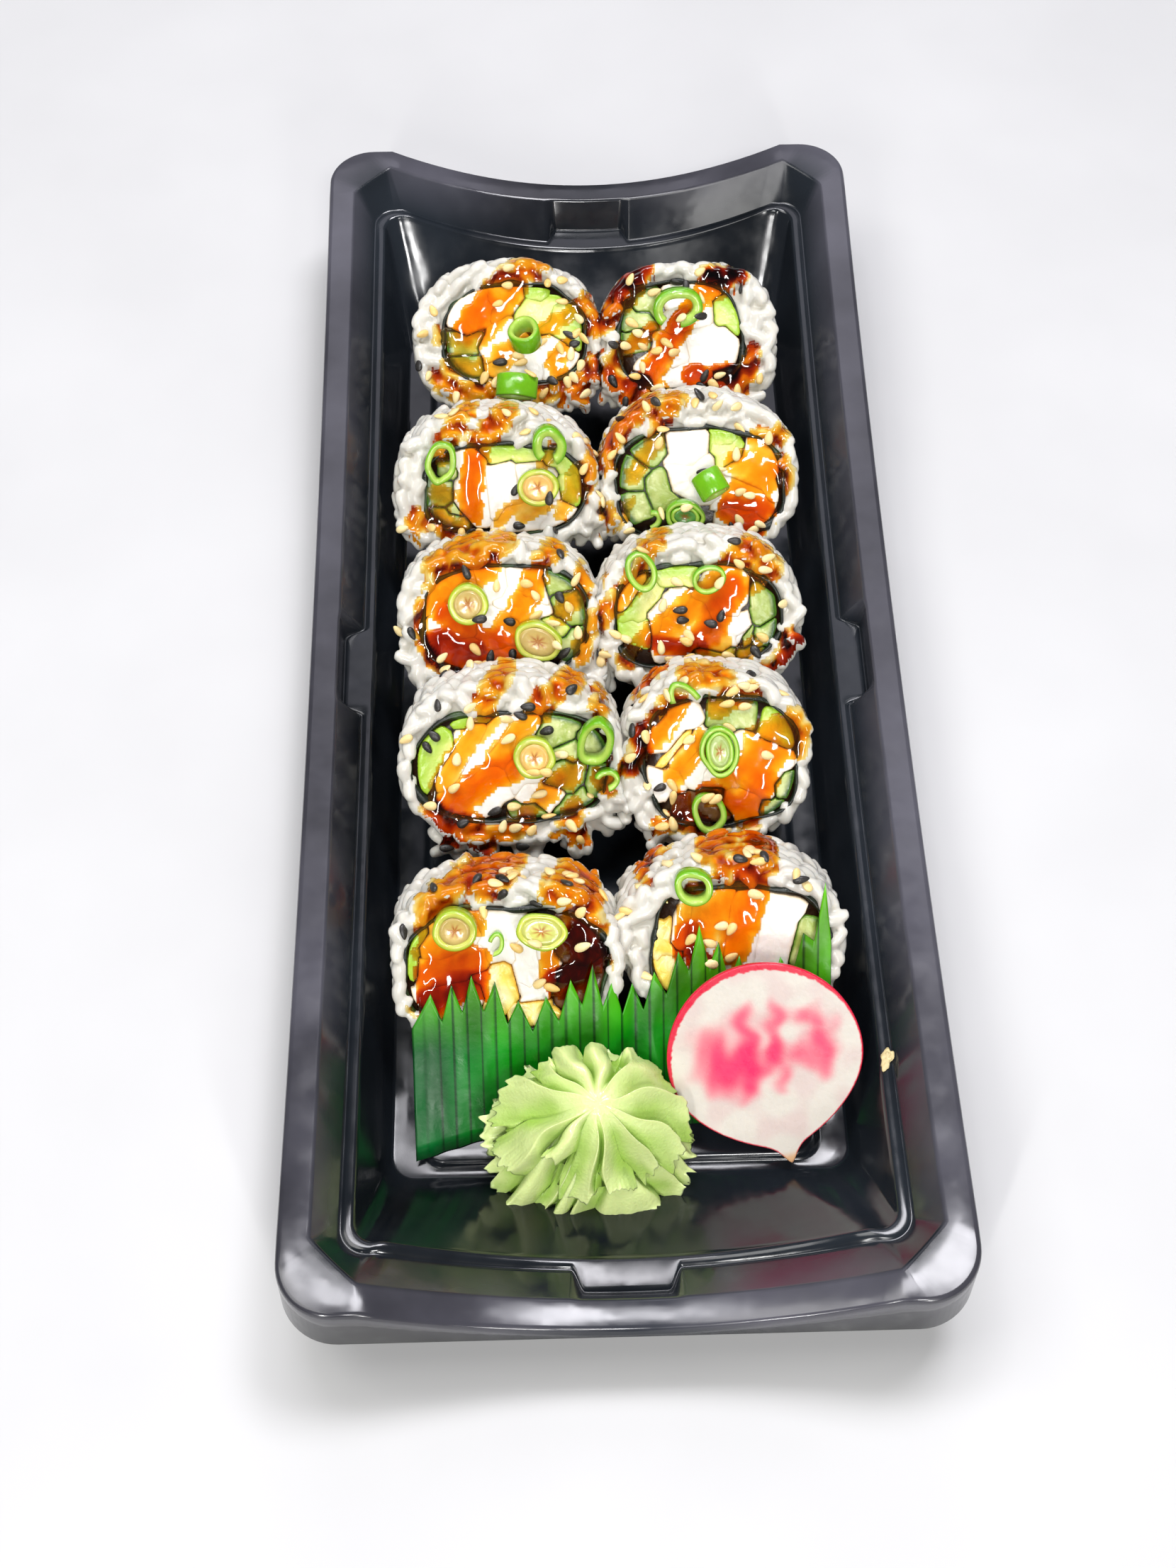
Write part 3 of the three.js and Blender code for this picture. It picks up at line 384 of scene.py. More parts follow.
def make_piece(name, mesh, material, replaced=()):
    points, faces, tints = mesh.arrays()
    data = bpy.data.meshes.new(name)
    data.from_pydata((points * MM).tolist(), [], faces)
    outward = bmesh.new()
    outward.from_mesh(data)
    bmesh.ops.recalc_face_normals(outward, faces=outward.faces)
    outward.to_mesh(data)
    outward.free()
    data.polygons.foreach_set("use_smooth", np.ones(len(data.polygons), dtype=bool))
    colours = data.color_attributes.new("tint", "FLOAT_COLOR", "POINT")
    colours.data.foreach_set("color", np.column_stack([tints, np.ones(len(tints))]).ravel())
    data.materials.append(material)
    data.update()
    piece = bpy.data.objects.new(name, data)
    bpy.context.scene.collection.objects.link(piece)
    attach(piece, "root")
    if replaced:
        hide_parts(*replaced)


def ring_faces(rows, columns, closed_rows=False):
    """Quads between rows of points. Each row is a closed ring of that many columns."""
    faces = []
    for i in range(rows if closed_rows else rows - 1):
        here, there = i * columns, ((i + 1) % rows) * columns
        for j in range(columns):
            k = (j + 1) % columns
            faces.append((here + j, here + k, there + k, there + j))
    return faces


def capped_faces(rows, columns):
    """As ring_faces, with a middle point after the rows that closes the first, and one for the last."""
    first, last = rows * columns, rows * columns + 1
    faces = ring_faces(rows, columns)
    for j in range(columns):
        k = (j + 1) % columns
        faces.append((first, k, j))
        faces.append((last, (rows - 1) * columns + j, (rows - 1) * columns + k))
    return faces


def capped_points(rows):
    rows = np.asarray(rows, dtype=float)
    return np.concatenate([rows.reshape(-1, 3), rows[0].mean(axis=0)[None], rows[-1].mean(axis=0)[None]])


# ---------------------------------------------------------------- materials
NOISE_RANGE = (0.3, 0.7)           # where most of a noise pattern's values lie
MIX_SHARE, MIX_A, MIX_B, MIX_RESULT = 0, 6, 7, 2       # sockets of a Mix node for colours
GLOSS_PATCH, GLOSS_SPREAD = 0.7, 0.3                   # width beside the blotches', and range
BUMP_DEPTH = 0.4                   # beside the bumps' width
COAT_ROUGH = 0.05
LIGHT_SPREAD = (1.0, 0.8, 0.6)     # how far red, green and blue light travel inside food
# cloudy lighter and darker patches in the plastic's colour: painted smoky reflections
TRAY_CLOUDS, TRAY_SHADES = 45, (0.25, 1.7)
TRAY_PATCHES, TRAY_ROUGH = 7, (0.08, 0.26)
TRAY_DENTS, TRAY_DENT_STRENGTH, TRAY_DENT_DEPTH = 9, 0.3, 0.35
TRAY_IOR = 1.55
GLAZE_CLOUD = 0.03                 # share of the light that the glaze scatters itself
MIRROR_STRAIGHT, MIRROR_POWER = 0.04, 5.0              # share mirrored head on, and its growth aslant
GLAZE_ROUGH = 0.05
GLAZE_WAVES, GLAZE_WAVE_STRENGTH, GLAZE_WAVE_DEPTH = 3.2, 0.45, 0.28


def new_material(name):
    material = bpy.data.materials.new(name)
    material.use_nodes = True
    return material, material.node_tree, material.node_tree.nodes["Principled BSDF"]


def add_node(tree, kind, **values):
    node = tree.nodes.new(kind)
    for key, value in values.items():
        if key in node.inputs:
            node.inputs[key].default_value = value
        else:
            setattr(node, key, value)
    return node


def object_noise(tree, size_mm, detail=3.0):
    """Noise whose blotches are about size_mm across."""
    place = tree.nodes.new("ShaderNodeTexCoord")
    scale = tree.nodes.new("ShaderNodeMapping")
    scale.inputs["Scale"].default_value = [1 / (size_mm * MM)] * 3
    tree.links.new(place.outputs["Object"], scale.inputs["Vector"])
    pattern = add_node(tree, "ShaderNodeTexNoise", Scale=1.0, Detail=detail)
    tree.links.new(scale.outputs["Vector"], pattern.inputs["Vector"])
    return pattern.outputs["Fac"]


def between(tree, noise, low, high):
    """Maps NOISE_RANGE onto low to high."""
    span = tree.nodes.new("ShaderNodeMapRange")
    for socket, value in zip(("From Min", "From Max", "To Min", "To Max"), (*NOISE_RANGE, low, high)):
        span.inputs[socket].default_value = value
    tree.links.new(noise, span.inputs["Value"])
    return span.outputs["Result"]


def grey_colour(tree, value):
    grey = tree.nodes.new("ShaderNodeCombineColor")
    for channel in ("Red", "Green", "Blue"):
        tree.links.new(value, grey.inputs[channel])
    return grey.outputs["Color"]


def bumps(tree, noise, strength, depth_mm):
    relief = add_node(tree, "ShaderNodeBump", Strength=strength, Distance=depth_mm * MM)
    tree.links.new(noise, relief.inputs["Height"])
    return relief.outputs["Normal"]


def paint(tree, shader, shade, gloss, relief):
    """Gives a shader the piece's own tint, darkened by shade, and its gloss and relief."""
    tint = add_node(tree, "ShaderNodeAttribute", attribute_name="tint")
    multiply = add_node(tree, "ShaderNodeMix", data_type="RGBA", blend_type="MULTIPLY")
    multiply.inputs[MIX_SHARE].default_value = 1.0
    tree.links.new(tint.outputs["Color"], multiply.inputs[MIX_A])
    tree.links.new(grey_colour(tree, shade), multiply.inputs[MIX_B])
    tree.links.new(multiply.outputs[MIX_RESULT], shader.inputs["Base Color"])
    tree.links.new(gloss, shader.inputs["Roughness"])
    tree.links.new(relief, shader.inputs["Normal"])


def tinted_material(name, rough, blotch_mm, blotch, bump_mm, bump, subsurface=0.0, radius_mm=1.0,
                    specular=0.5, coat=0.0):
    """Food or grass: blotches of shade blotch deep, gloss about rough, and bumps as strong as bump."""
    material, tree, shader = new_material(name)
    shade = between(tree, object_noise(tree, blotch_mm), 1 - blotch, 1.0)
    gloss = between(tree, object_noise(tree, blotch_mm * GLOSS_PATCH),
                    rough * (1 - GLOSS_SPREAD), rough * (1 + GLOSS_SPREAD))
    relief = bumps(tree, object_noise(tree, bump_mm), bump, bump_mm * BUMP_DEPTH)
    paint(tree, shader, shade, gloss, relief)
    shader.inputs["Specular IOR Level"].default_value = specular
    shader.inputs["Coat Weight"].default_value = coat
    shader.inputs["Coat Roughness"].default_value = COAT_ROUGH
    shader.inputs["Subsurface Weight"].default_value = subsurface
    shader.inputs["Subsurface Radius"].default_value = LIGHT_SPREAD
    shader.inputs["Subsurface Scale"].default_value = radius_mm * MM
    return material


def tray_material():
    """Black plastic that shines unevenly, with painted smoky reflections as cloudy patches in its colour."""
    material, tree, shader = new_material("tray_plastic")
    shade = between(tree, object_noise(tree, TRAY_CLOUDS, detail=5), *TRAY_SHADES)
    gloss = between(tree, object_noise(tree, TRAY_PATCHES, detail=6), *TRAY_ROUGH)
    dents = object_noise(tree, TRAY_DENTS, detail=2)
    paint(tree, shader, shade, gloss, bumps(tree, dents, TRAY_DENT_STRENGTH, TRAY_DENT_DEPTH))
    shader.inputs["IOR"].default_value = TRAY_IOR
    return material


def two_shaders(tree, first, second):
    both = tree.nodes.new("ShaderNodeMixShader")
    tree.links.new(first.outputs[0], both.inputs[1])
    tree.links.new(second.outputs[0], both.inputs[2])
    return both


def glaze_material():
    """Clear amber sauce: what lies under it shows through its tint, and its top reflects."""
    material, tree, shader = new_material("glaze")
    tree.nodes.remove(shader)
    tint = add_node(tree, "ShaderNodeAttribute", attribute_name="tint")
    clear = tree.nodes.new("ShaderNodeBsdfTransparent")
    cloudy = tree.nodes.new("ShaderNodeBsdfDiffuse")
    for layer in (clear, cloudy):
        tree.links.new(tint.outputs["Color"], layer.inputs["Color"])
    body = two_shaders(tree, clear, cloudy)
    body.inputs[0].default_value = GLAZE_CLOUD
    gloss = add_node(tree, "ShaderNodeBsdfAnisotropic", Roughness=GLAZE_ROUGH)
    slope = add_node(tree, "ShaderNodeLayerWeight", Blend=0.5)
    waves = bumps(tree, object_noise(tree, GLAZE_WAVES, detail=1.0), GLAZE_WAVE_STRENGTH, GLAZE_WAVE_DEPTH)
    for layer in (gloss, slope):
        tree.links.new(waves, layer.inputs["Normal"])
    steepness = add_node(tree, "ShaderNodeMath", operation="POWER")
    steepness.inputs[1].default_value = MIRROR_POWER
    tree.links.new(slope.outputs["Facing"], steepness.inputs[0])
    mirror = add_node(tree, "ShaderNodeMath", operation="MULTIPLY_ADD")
    mirror.inputs[1].default_value = 1 - MIRROR_STRAIGHT
    mirror.inputs[2].default_value = MIRROR_STRAIGHT
    tree.links.new(steepness.outputs[0], mirror.inputs[0])
    top = two_shaders(tree, body, gloss)
    tree.links.new(mirror.outputs[0], top.inputs[0])
    tree.links.new(top.outputs[0], tree.nodes["Material Output"].inputs["Surface"])
    return material


# ---------------------------------------------------------------- tray
CORNER_STEPS = 14
LONG_SIDE = dict(half=TRAY["half_length"] - TRAY["pad"], dip=TRAY["side_dip"], steps=30,
                 notch_half=NOTCH["side_half"], notch_depth=NOTCH["side_depth"])
SHORT_SIDE = dict(half=TRAY["half_width"] - TRAY["pad"], dip=TRAY["end_dip"], steps=12,
                  notch_half=NOTCH["end_half"], notch_depth=NOTCH["end_depth"])
NOTCH_STEPS, NOTCH_MARGIN = 9, 0.004
CORNER_MARGIN = 2
FOLD_RADIUS, FOLD_MOST = 0.6, 0.45 # a fold takes up at most this share of the sheet beside it
# the rim's lighter, bluer colour is a painted sheen of reflected light
WALL_TINT, RIM_SHEEN_TINT = (0.0090, 0.0115, 0.0150), (0.054, 0.053, 0.065)
RIM_INSIDE = (-7.5, -5.0)          # how far out, past the nominal rim, its colour starts and is full
RIM_ABOVE = (16, 20)               # the height at which its colour starts and is full
# Rings of the sheet, from the middle of the panel out: drop is below the rim's height, z from the table
TRAY_LEVELS = [
    dict(half_x=34.0, half_y=99.6, radius=3, z=TRAY["panel"]),
    dict(half_x=36.6, half_y=102.2, radius=4, z=TRAY["panel"]),
    dict(half_x=37.4, half_y=103.0, radius=4.4, z=TRAY["floor"]),
    dict(half_x=43.0, half_y=105.0, radius=4.5, z=TRAY["floor"]),
    dict(half_x=47.2, half_y=124.2, radius=3.6, drop=7.2),
    dict(half_x=47.7, half_y=124.8, radius=3.8, drop=6.4),
    dict(half_x=49.2, half_y=126.2, radius=4.2, drop=6.4, notch=1),
    dict(half_x=49.8, half_y=126.8, radius=4.4, drop=6.9, notch=1),
    dict(half_x=54.25, half_y=134.25, chamfer=8.25, drop=0),
    dict(half_x=59.5, half_y=139.5, radius=9.5, reach=TRAY["pad"], drop=0),
    dict(half_x=60, half_y=140, radius=10, reach=TRAY["pad"], drop=0.6),
    dict(half_x=60.5, half_y=140.5, radius=10.5, reach=TRAY["pad"], z=TRAY["lip"]),
]


def side_places(side):
    """Places from -1 to 1 along a side, close together where the notch's ends slope."""
    inner = (side["notch_half"] - NOTCH["taper"]) / side["half"]
    outer = side["notch_half"] / side["half"]
    slope = np.linspace(inner - NOTCH_MARGIN, outer + NOTCH_MARGIN, NOTCH_STEPS)
    middle = np.linspace(0, slope[0], 4)[:-1]
    half = np.concatenate([middle, slope, np.linspace(slope[-1], 1, side["steps"])[1:]])
    return np.concatenate([-half[:0:-1], half])


def tray_side(level, side, across, along):
    """Points along one side: how far out, how far along, and how high."""
    places = side_places(side)
    distance = np.abs(places) * side["half"]
    inside = 1 - smoothstep(side["notch_half"] - NOTCH["taper"], side["notch_half"], distance)
    height = TRAY["rim"] - side["dip"] * (1 - places ** 2)
    return across + side["notch_depth"] * inside * level.get("notch", 0), places * along, height


def tray_ring(level):
    half_x, half_y = level["half_x"], level["half_y"]
    reach = level.get("chamfer") or level.get("reach") or level["radius"] + CORNER_MARGIN

    def at(x, y, height):
        z = np.full(len(x), float(level["z"])) if "z" in level else height - level["drop"]
        return np.column_stack([x, y, z])

    x, y, height = tray_side(level, LONG_SIDE, half_x, half_y - reach)
    right, left = at(x, y, height), at(-x, -y, height)
    out, across, height = tray_side(level, SHORT_SIDE, half_y, half_x - reach)
    far, near = at(-across, out, height), at(across, -out, height)

    if "chamfer" in level:
        turn = np.arange(1, CORNER_STEPS + 1) / (CORNER_STEPS + 1)
        corner_x = half_x - level["chamfer"] * turn
        corner_y = half_y - level["chamfer"] * (1 - turn)
    else:
        turn = np.linspace(0, math.pi / 2, CORNER_STEPS)
        corner_x = half_x - level["radius"] * (1 - np.cos(turn))
        corner_y = half_y - level["radius"] * (1 - np.sin(turn))
    top = np.full(CORNER_STEPS, float(TRAY["rim"]))

    def corner(sign_x, sign_y):
        points = at(corner_x * sign_x, corner_y * sign_y, top)
        return points if sign_x == sign_y else points[::-1]

    return np.concatenate([right, corner(1, 1), far, corner(-1, 1),
                           left, corner(-1, -1), near, corner(1, -1)])


def rounded_profile(rings):
    """Replaces each inner ring by three, so that the sheet bends over a small radius."""
    rounded = [rings[0]]
    for before, here, after in zip(rings, rings[1:], rings[2:]):
        length_in = np.linalg.norm(before - here, axis=1)[:, None]
        length_out = np.linalg.norm(after - here, axis=1)[:, None]
        come = here + (before - here) * np.minimum(FOLD_MOST, FOLD_RADIUS / length_in)
        leave = here + (after - here) * np.minimum(FOLD_MOST, FOLD_RADIUS / length_out)
        rounded += [come, here * 0.5 + (come + leave) * 0.25, leave]
    return rounded + [rings[-1]]


def make_tray():
    rows = np.stack(rounded_profile([tray_ring(level) for level in TRAY_LEVELS]))
    along = np.roll(rows, -1, axis=1) - np.roll(rows, 1, axis=1)
    across = np.gradient(rows, axis=0)
    normals = np.cross(across, along)
    normals /= np.maximum(np.linalg.norm(normals, axis=2), 1e-9)[:, :, None]
    under = rows - normals * SHEET
    under[..., 2] = np.maximum(under[..., 2], 0.0)
    mesh = Mesh()
    points = capped_points(np.concatenate([rows, under[::-1]]))
    out = np.maximum(np.abs(points[:, 0]) - TRAY["half_width"], np.abs(points[:, 1]) - TRAY["half_length"])
    # painted reflection: the rim and flange take the lighter sheen colour
    rim = smoothstep(*RIM_INSIDE, out) * smoothstep(*RIM_ABOVE, points[:, 2])
    mesh.add(points, capped_faces(len(rows) * 2, rows.shape[1]), mix(WALL_TINT, RIM_SHEEN_TINT, rim))
    make_piece("tray_shell", mesh, tray_material(), ["tray"])


# ---------------------------------------------------------------- roll slices
GRAIN_SIZES = ((4.9, 0.8, 1.1), (2.9, 0.85, 1.1), (2.9, 0.85, 1.0))    # and their bounds
FACE_SPACING, BACK_SPACING, SIDE_SPACING, CLUMP_SPACING = 2.7, 3.24, 2.8, 2.24
FACE_TRIES, BACK_TRIES, SIDE_TRIES, CLUMP_TRIES = 1500, 1200, 2600, 120
RICE_INSET = 1.35                  # how far the rice core lies inside the slice's outline
CORE_GAP, CORE_UNEVEN = 0.1, 0.12  # from the core to the seaweed, and how uneven its faces are
# the crease colour is painted shade down between the grains
RICE_TINT, CREASE_SHADE_TINT = (0.71, 0.69, 0.62), (0.58, 0.55, 0.46)
RICE_VOXEL = 0.35
RICE_KEEP = 0.23                   # share of the fused rice's triangles that are kept
RICE_SOFTEN = 0.5
FACE_RAISED, SIDE_RAISED = (-1.7, -0.3), (0.93, 1.01)  # heights and outline shares where the painted crease shade gives way to the rice's own colour
FACE_BAND = 2.0                    # depth of what counts as the face
RING_STEPS, CORE_STEPS, HOLLOW_STEPS, BLOCK_SIDES = 160, 96, 64, 56
TABLE_STEPS = 720                  # directions in which a grain can lie from a slice's middle
OUTLINE_GROW, OUTLINE_UNEVEN = 1.025, 0.012
RING_UNEVEN, LEAST_RICE = 0.032, 1.9
FAR_OUT, HALVINGS = 60.0, 30       # the search for a slice's outline
FACE_DEPTH, BACK_DEPTH, SIDE_DEPTH = 1.0, 0.95, 1.05   # how far inside the slice grains' middles lie
FACE_UNEVEN, SIDE_UNEVEN = 0.4, 0.25
RING_GAP, OUTLINE_GAP = 0.9, 1.2   # between grains' middles and the seaweed or the outline
GRAIN_TURN, GRAIN_TIP, GRAIN_FLARE = 0.6, 0.16, 0.07   # how unevenly grains lie
SIDE_EDGE, SIDE_EDGE_ACROSS = 1.0, 1.9                 # how near the side's edges grains lie
SIDE_ROUNDING, ROUNDING_DEPTH = 0.6, 2.5               # the side's edges are rounded off
SEAWEED_HALF, SEAWEED_FRAYED = 0.30, 0.42              # half thickness, and what frays add to it
SEAWEED_TINT, SEAWEED_EDGE = (0.006, 0.012, 0.006), (0.03, 0.07, 0.012)
# painted shade deep in the gaps between pieces of filling, brown as sauce-soaked filling
HOLLOW_SHADE_TINT = (0.022, 0.008, 0.003)


class Slice:
    """One roll slice: its place in the tray and its outlines, as reaches from the middle of its filling."""

    def __init__(self, number):
        self.number = number
        self.roll = ROLLS[number]
        self.thick = self.roll["thick"]
        self.lean = math.radians(self.roll["lean"])
        self.face_height = (PANEL_TOP + self.roll["height"] / 2 * math.sin(self.lean)
                            + self.thick * math.cos(self.lean))
        left, right, low, high = self.roll["ring"]
        self.middle = np.array([(left + right) / 2, (low + high) / 2])
        self.ring_half = np.array([(right - left) / 2, (high - low) / 2])

    def to_tray(self, points):
        """Turns points on the slice (across, up, out of its face) into the tray's coordinates."""
        points = np.asarray(points, dtype=float)
        cos, sin = math.cos(self.lean), math.sin(self.lean)
        y = self.roll["place"][1] + points[..., 1] * cos - points[..., 2] * sin
        z = self.face_height + points[..., 1] * sin + points[..., 2] * cos
        return np.stack([points[..., 0] + self.roll["place"][0], y, z], axis=-1)

    def from_tray(self, points):
        y = points[..., 1] - self.roll["place"][1]
        z = points[..., 2] - self.face_height
        return np.stack([points[..., 0] - self.roll["place"][0], *turned(y, z, -self.lean)], axis=-1)

    def ring_share(self, u, v):
        """How far out a point lies in the filling: 1 on the seaweed."""
        across = np.abs((u - self.middle[0]) / self.ring_half[0]) ** RING_SQUARE
        up = np.abs((v - self.middle[1]) / self.ring_half[1]) ** RING_SQUARE
        return (across + up) ** (1 / RING_SQUARE)

    def outline_share(self, u, v):
        square = self.roll["square"]
        across = np.abs(u / self.roll["width"] * 2) ** square
        up = np.abs(v / self.roll["height"] * 2) ** square
        return (across + up) ** (1 / square)

    def outer_reach(self, angle):
        low, high = np.zeros_like(angle), np.full_like(angle, FAR_OUT)
        for _ in range(HALVINGS):
            middle = (low + high) / 2
            inside = self.outline_share(self.middle[0] + np.cos(angle) * middle,
                                        self.middle[1] + np.sin(angle) * middle) < 1
            low, high = np.where(inside, middle, low), np.where(inside, high, middle)
        return low * (OUTLINE_GROW + OUTLINE_UNEVEN * ripple(on_circle(angle), 0.9, self.number + 60))

    def ring_reach(self, angle):
        reach = 1 / self.ring_share(self.middle[0] + np.cos(angle), self.middle[1] + np.sin(angle))
        uneven = reach * (1 + RING_UNEVEN * ripple(on_circle(angle), 0.9, self.number + 40))
        return np.minimum(uneven, self.outer_reach(angle) - LEAST_RICE)

    def at(self, angle, reach, z):
        return oval(angle, reach, reach, z, self.middle)


def pod(around, along, radius_at, bend=0.0):
    """A closed pod from -0.5 to 0.5 along X. bend curves it towards +Y at both ends."""
    angle = circle(around)
    rows = []
    for share in np.arange(1, along) / along:
        x = -math.cos(share * math.pi) / 2
        radius = radius_at(math.sin(share * math.pi), x)
        y = np.cos(angle) * radius + bend * (x * x * 4 - 0.5)
        rows.append(np.column_stack([np.full(around, x), y, np.sin(angle) * radius]))
    points = capped_points(rows)
    points[-2:] = (-0.5, bend / 2, 0), (0.5, bend / 2, 0)
    return points, capped_faces(along - 1, around)


def varied(numbers, pieces, sizes):
    """Lengths, widths and heights: each is a size times a random number between two bounds."""
    return np.column_stack([size * numbers.uniform(low, high, pieces) for size, low, high in sizes])


def placed(template, centres, along, normals, sizes):
    """One copy of the template at each centre, its X along along and its Z as near normal as it can."""
    along = along / np.linalg.norm(along, axis=1)[:, None]
    side = np.cross(normals, along)
    side /= np.linalg.norm(side, axis=1)[:, None]
    axes = np.stack([along, side, np.cross(along, side)], axis=1)
    return centres[:, None] + np.einsum("pk,nk,nkc->npc", template, sizes, axes)


def scatter(count, spacing, draw):
    """Up to count places from draw() that keep spacing between them, with what comes with each."""
    kept = np.zeros((count, 3))
    details = []
    for _ in range(count):
        place, detail = draw()
        found = len(details)
        if found and (((kept[:found] - place) ** 2).sum(axis=1) < spacing ** 2).any():
            continue
        kept[found] = place
        details.append(detail)
    return kept[:len(details)], details


def add_rice_core(mesh, cut):
    thick = cut.thick
    angle = circle(CORE_STEPS)
    inner = cut.ring_reach(angle) + CORE_GAP
    outer = cut.outer_reach(angle) - RICE_INSET
    profile = [(0.0, -1.3), (0.35, -1.2), (0.75, -1.3), (1.0, -2.1), (1.0, -3.5), (1.0, -thick / 2),
               (1.0, 3.5 - thick), (1.0, 2.2 - thick), (0.75, 1.4 - thick), (0.35, 1.3 - thick),
               (0.0, 1.4 - thick), (0.0, -thick / 2)]
    rows = []
    for share, z in profile:
        points = cut.at(angle, inner + (outer - inner) * share, z)
        if share < 1:
            points[:, 2] += ripple(points, 4.5, cut.number + 7) * CORE_UNEVEN
        rows.append(points)
    faces = ring_faces(len(rows), CORE_STEPS, closed_rows=True)
    mesh.add(cut.to_tray(np.stack(rows)), faces, RICE_TINT)


class GrainPlaces:
    """Draws places for a slice's grains, each with the way it lies and the way its top faces."""

    def __init__(self, cut, numbers):
        self.cut = cut
        self.numbers = numbers
        self.angles = circle(TABLE_STEPS)
        self.inner, self.outer = cut.ring_reach(self.angles), cut.outer_reach(self.angles)
        self.clumps = CLUMPS.get(cut.number, [])

    def on_face(self, side):
        numbers = self.numbers
        index = numbers.integers(TABLE_STEPS)
        angle = self.angles[index]
        least = self.inner[index] + RING_GAP
        most = max(self.outer[index] - OUTLINE_GAP, least + 0.1)
        reach = math.sqrt(numbers.uniform(least ** 2, most ** 2))
        z = -FACE_DEPTH if side > 0 else BACK_DEPTH - self.cut.thick
        z += side * numbers.uniform(-FACE_UNEVEN, FACE_UNEVEN)
        turn = angle + math.pi / 2 + numbers.normal() * GRAIN_TURN
        along = (math.cos(turn), math.sin(turn), numbers.normal() * GRAIN_TIP)
        return self.cut.at(np.array([angle]), reach, z)[0], (along, (0, 0, side))

    def in_front(self):
        return self.on_face(1)

    def at_back(self):
        return self.on_face(-1)

    def on_side(self):
        numbers, thick = self.numbers, self.cut.thick
        index = numbers.integers(TABLE_STEPS)
        angle = self.angles[index]
        slant = numbers.normal() * GRAIN_TURN
        edge = SIDE_EDGE + SIDE_EDGE_ACROSS * abs(math.sin(slant))
        depth = numbers.uniform(edge, thick - edge)
        rounding = max(0.0, 1 - min(depth, thick - depth) / ROUNDING_DEPTH) * SIDE_ROUNDING
        reach = self.outer[index] - SIDE_DEPTH - rounding + numbers.uniform(-SIDE_UNEVEN, SIDE_UNEVEN)
        flare = numbers.normal() * GRAIN_FLARE
        level = math.cos(slant)
        along = np.array([-math.sin(angle) * level, math.cos(angle) * level, math.sin(slant)])
        outward = np.array([math.cos(angle), math.sin(angle), 0])
        return self.cut.at(np.array([angle]), reach, -depth)[0], (along + outward * flare, outward)

    def in_clump(self):
        numbers = self.numbers
        clump = np.array(self.clumps[numbers.integers(len(self.clumps))])
        away, along = numbers.normal(size=3), numbers.normal(size=3)
        away *= clump[3] * numbers.uniform(0, 1) ** 0.4 / np.linalg.norm(away)
        return clump[:3] + away, (along, numbers.normal(size=3))


def add_grains(mesh, cut):
    numbers = np.random.default_rng(100 + cut.number)
    places = GrainPlaces(cut, numbers)
    groups = [(FACE_TRIES, FACE_SPACING, places.in_front), (BACK_TRIES, BACK_SPACING, places.at_back),
              (SIDE_TRIES, SIDE_SPACING, places.on_side)]
    if places.clumps:
        groups.append((CLUMP_TRIES * len(places.clumps), CLUMP_SPACING, places.in_clump))
    template, faces = pod(8, 7, lambda swell, x: 0.5 * swell ** 0.5 * (1 - 0.18 * x), 0.12)
    for tries, spacing, draw in groups:
        centres, details = scatter(tries, spacing, draw)
        along, normals = (np.array(column) for column in zip(*details))
        pieces = len(centres)
        copies = placed(template, centres, along, normals, varied(numbers, pieces, GRAIN_SIZES))
        numbers.random(pieces)             # passed over, so that the next group's grains stay in place
        mesh.add_copies(cut.to_tray(copies), faces, np.tile(RICE_TINT, (pieces, 1)))


def add_seaweed(mesh, cut):
    angle = circle(RING_STEPS)
    reach = cut.ring_reach(angle)
    wave = ripple(on_circle(angle) * 6, 5.0, cut.number)
    low = 0.4 - cut.thick
    half = SEAWEED_HALF + SEAWEED_FRAYED * np.maximum(0, ripple(on_circle(angle) * 4, 2.2, cut.number + 20))
    rows = [cut.at(angle, reach + out, z) for out, z in
            ((-half, -0.5 - 0.3 * wave), (0, -0.2 - 0.3 * wave), (half, -0.5 - 0.3 * wave),
             (SEAWEED_HALF, low), (-SEAWEED_HALF, low))]
    tint = mix(SEAWEED_TINT, SEAWEED_EDGE, smoothstep(0.3, 1.2, wave))
    faces = ring_faces(len(rows), RING_STEPS, closed_rows=True)
    mesh.add(cut.to_tray(np.stack(rows)), faces, np.concatenate([tint] * len(rows)))


# How far a piece of filling can spread to meet the next.
BLOCK_GROW = dict(chicken=2.2, avocado=1.7, cucumber=1.1, egg=1.6, mushroom=1.6)
# Gaps round cucumber and between other kinds. Where one kind runs together the gap is below zero.
CUCUMBER_GAP, BLOCK_GAP, BLOCK_JOIN = 0.08, 0.03, -0.7
FILLING_REACH = 0.965              # how near the seaweed filling comes, as a share
SPREAD_STEP, SPREAD_MOST = 0.1, 16
# kind: mean height of its top over the face, spread of that height, roughness of its top
TOPS = dict(avocado=(-0.6, 0.1, 0.04), cucumber=(-0.8, 0.2, 0.06), chicken=(-0.4, 0.08, 0.05),
            egg=(-0.5, 0.2, 0.15), mushroom=(-1.0, 0.2, 0.1))
# kind: the two colours of its cut face, and the colour of its skin
FLESH_TINTS = dict(avocado=((0.86, 0.84, 0.26), (0.36, 0.58, 0.03)),
                   cucumber=((0.36, 0.46, 0.09), (0.58, 0.64, 0.24)),
                   egg=((0.90, 0.68, 0.10), (0.93, 0.82, 0.38)),
                   mushroom=((0.10, 0.035, 0.01), (0.22, 0.09, 0.03)),
                   chicken=((0.96, 0.92, 0.84), (0.96, 0.86, 0.75)))
SKIN_TINTS = dict(cucumber=(0.11, 0.25, 0.02), avocado=(0.34, 0.55, 0.03), chicken=(0.84, 0.66, 0.44),
                  egg=(0.85, 0.50, 0.06), mushroom=(0.05, 0.015, 0.004))
CUCUMBER_RIM = (0.02, 0.08, 0.01)


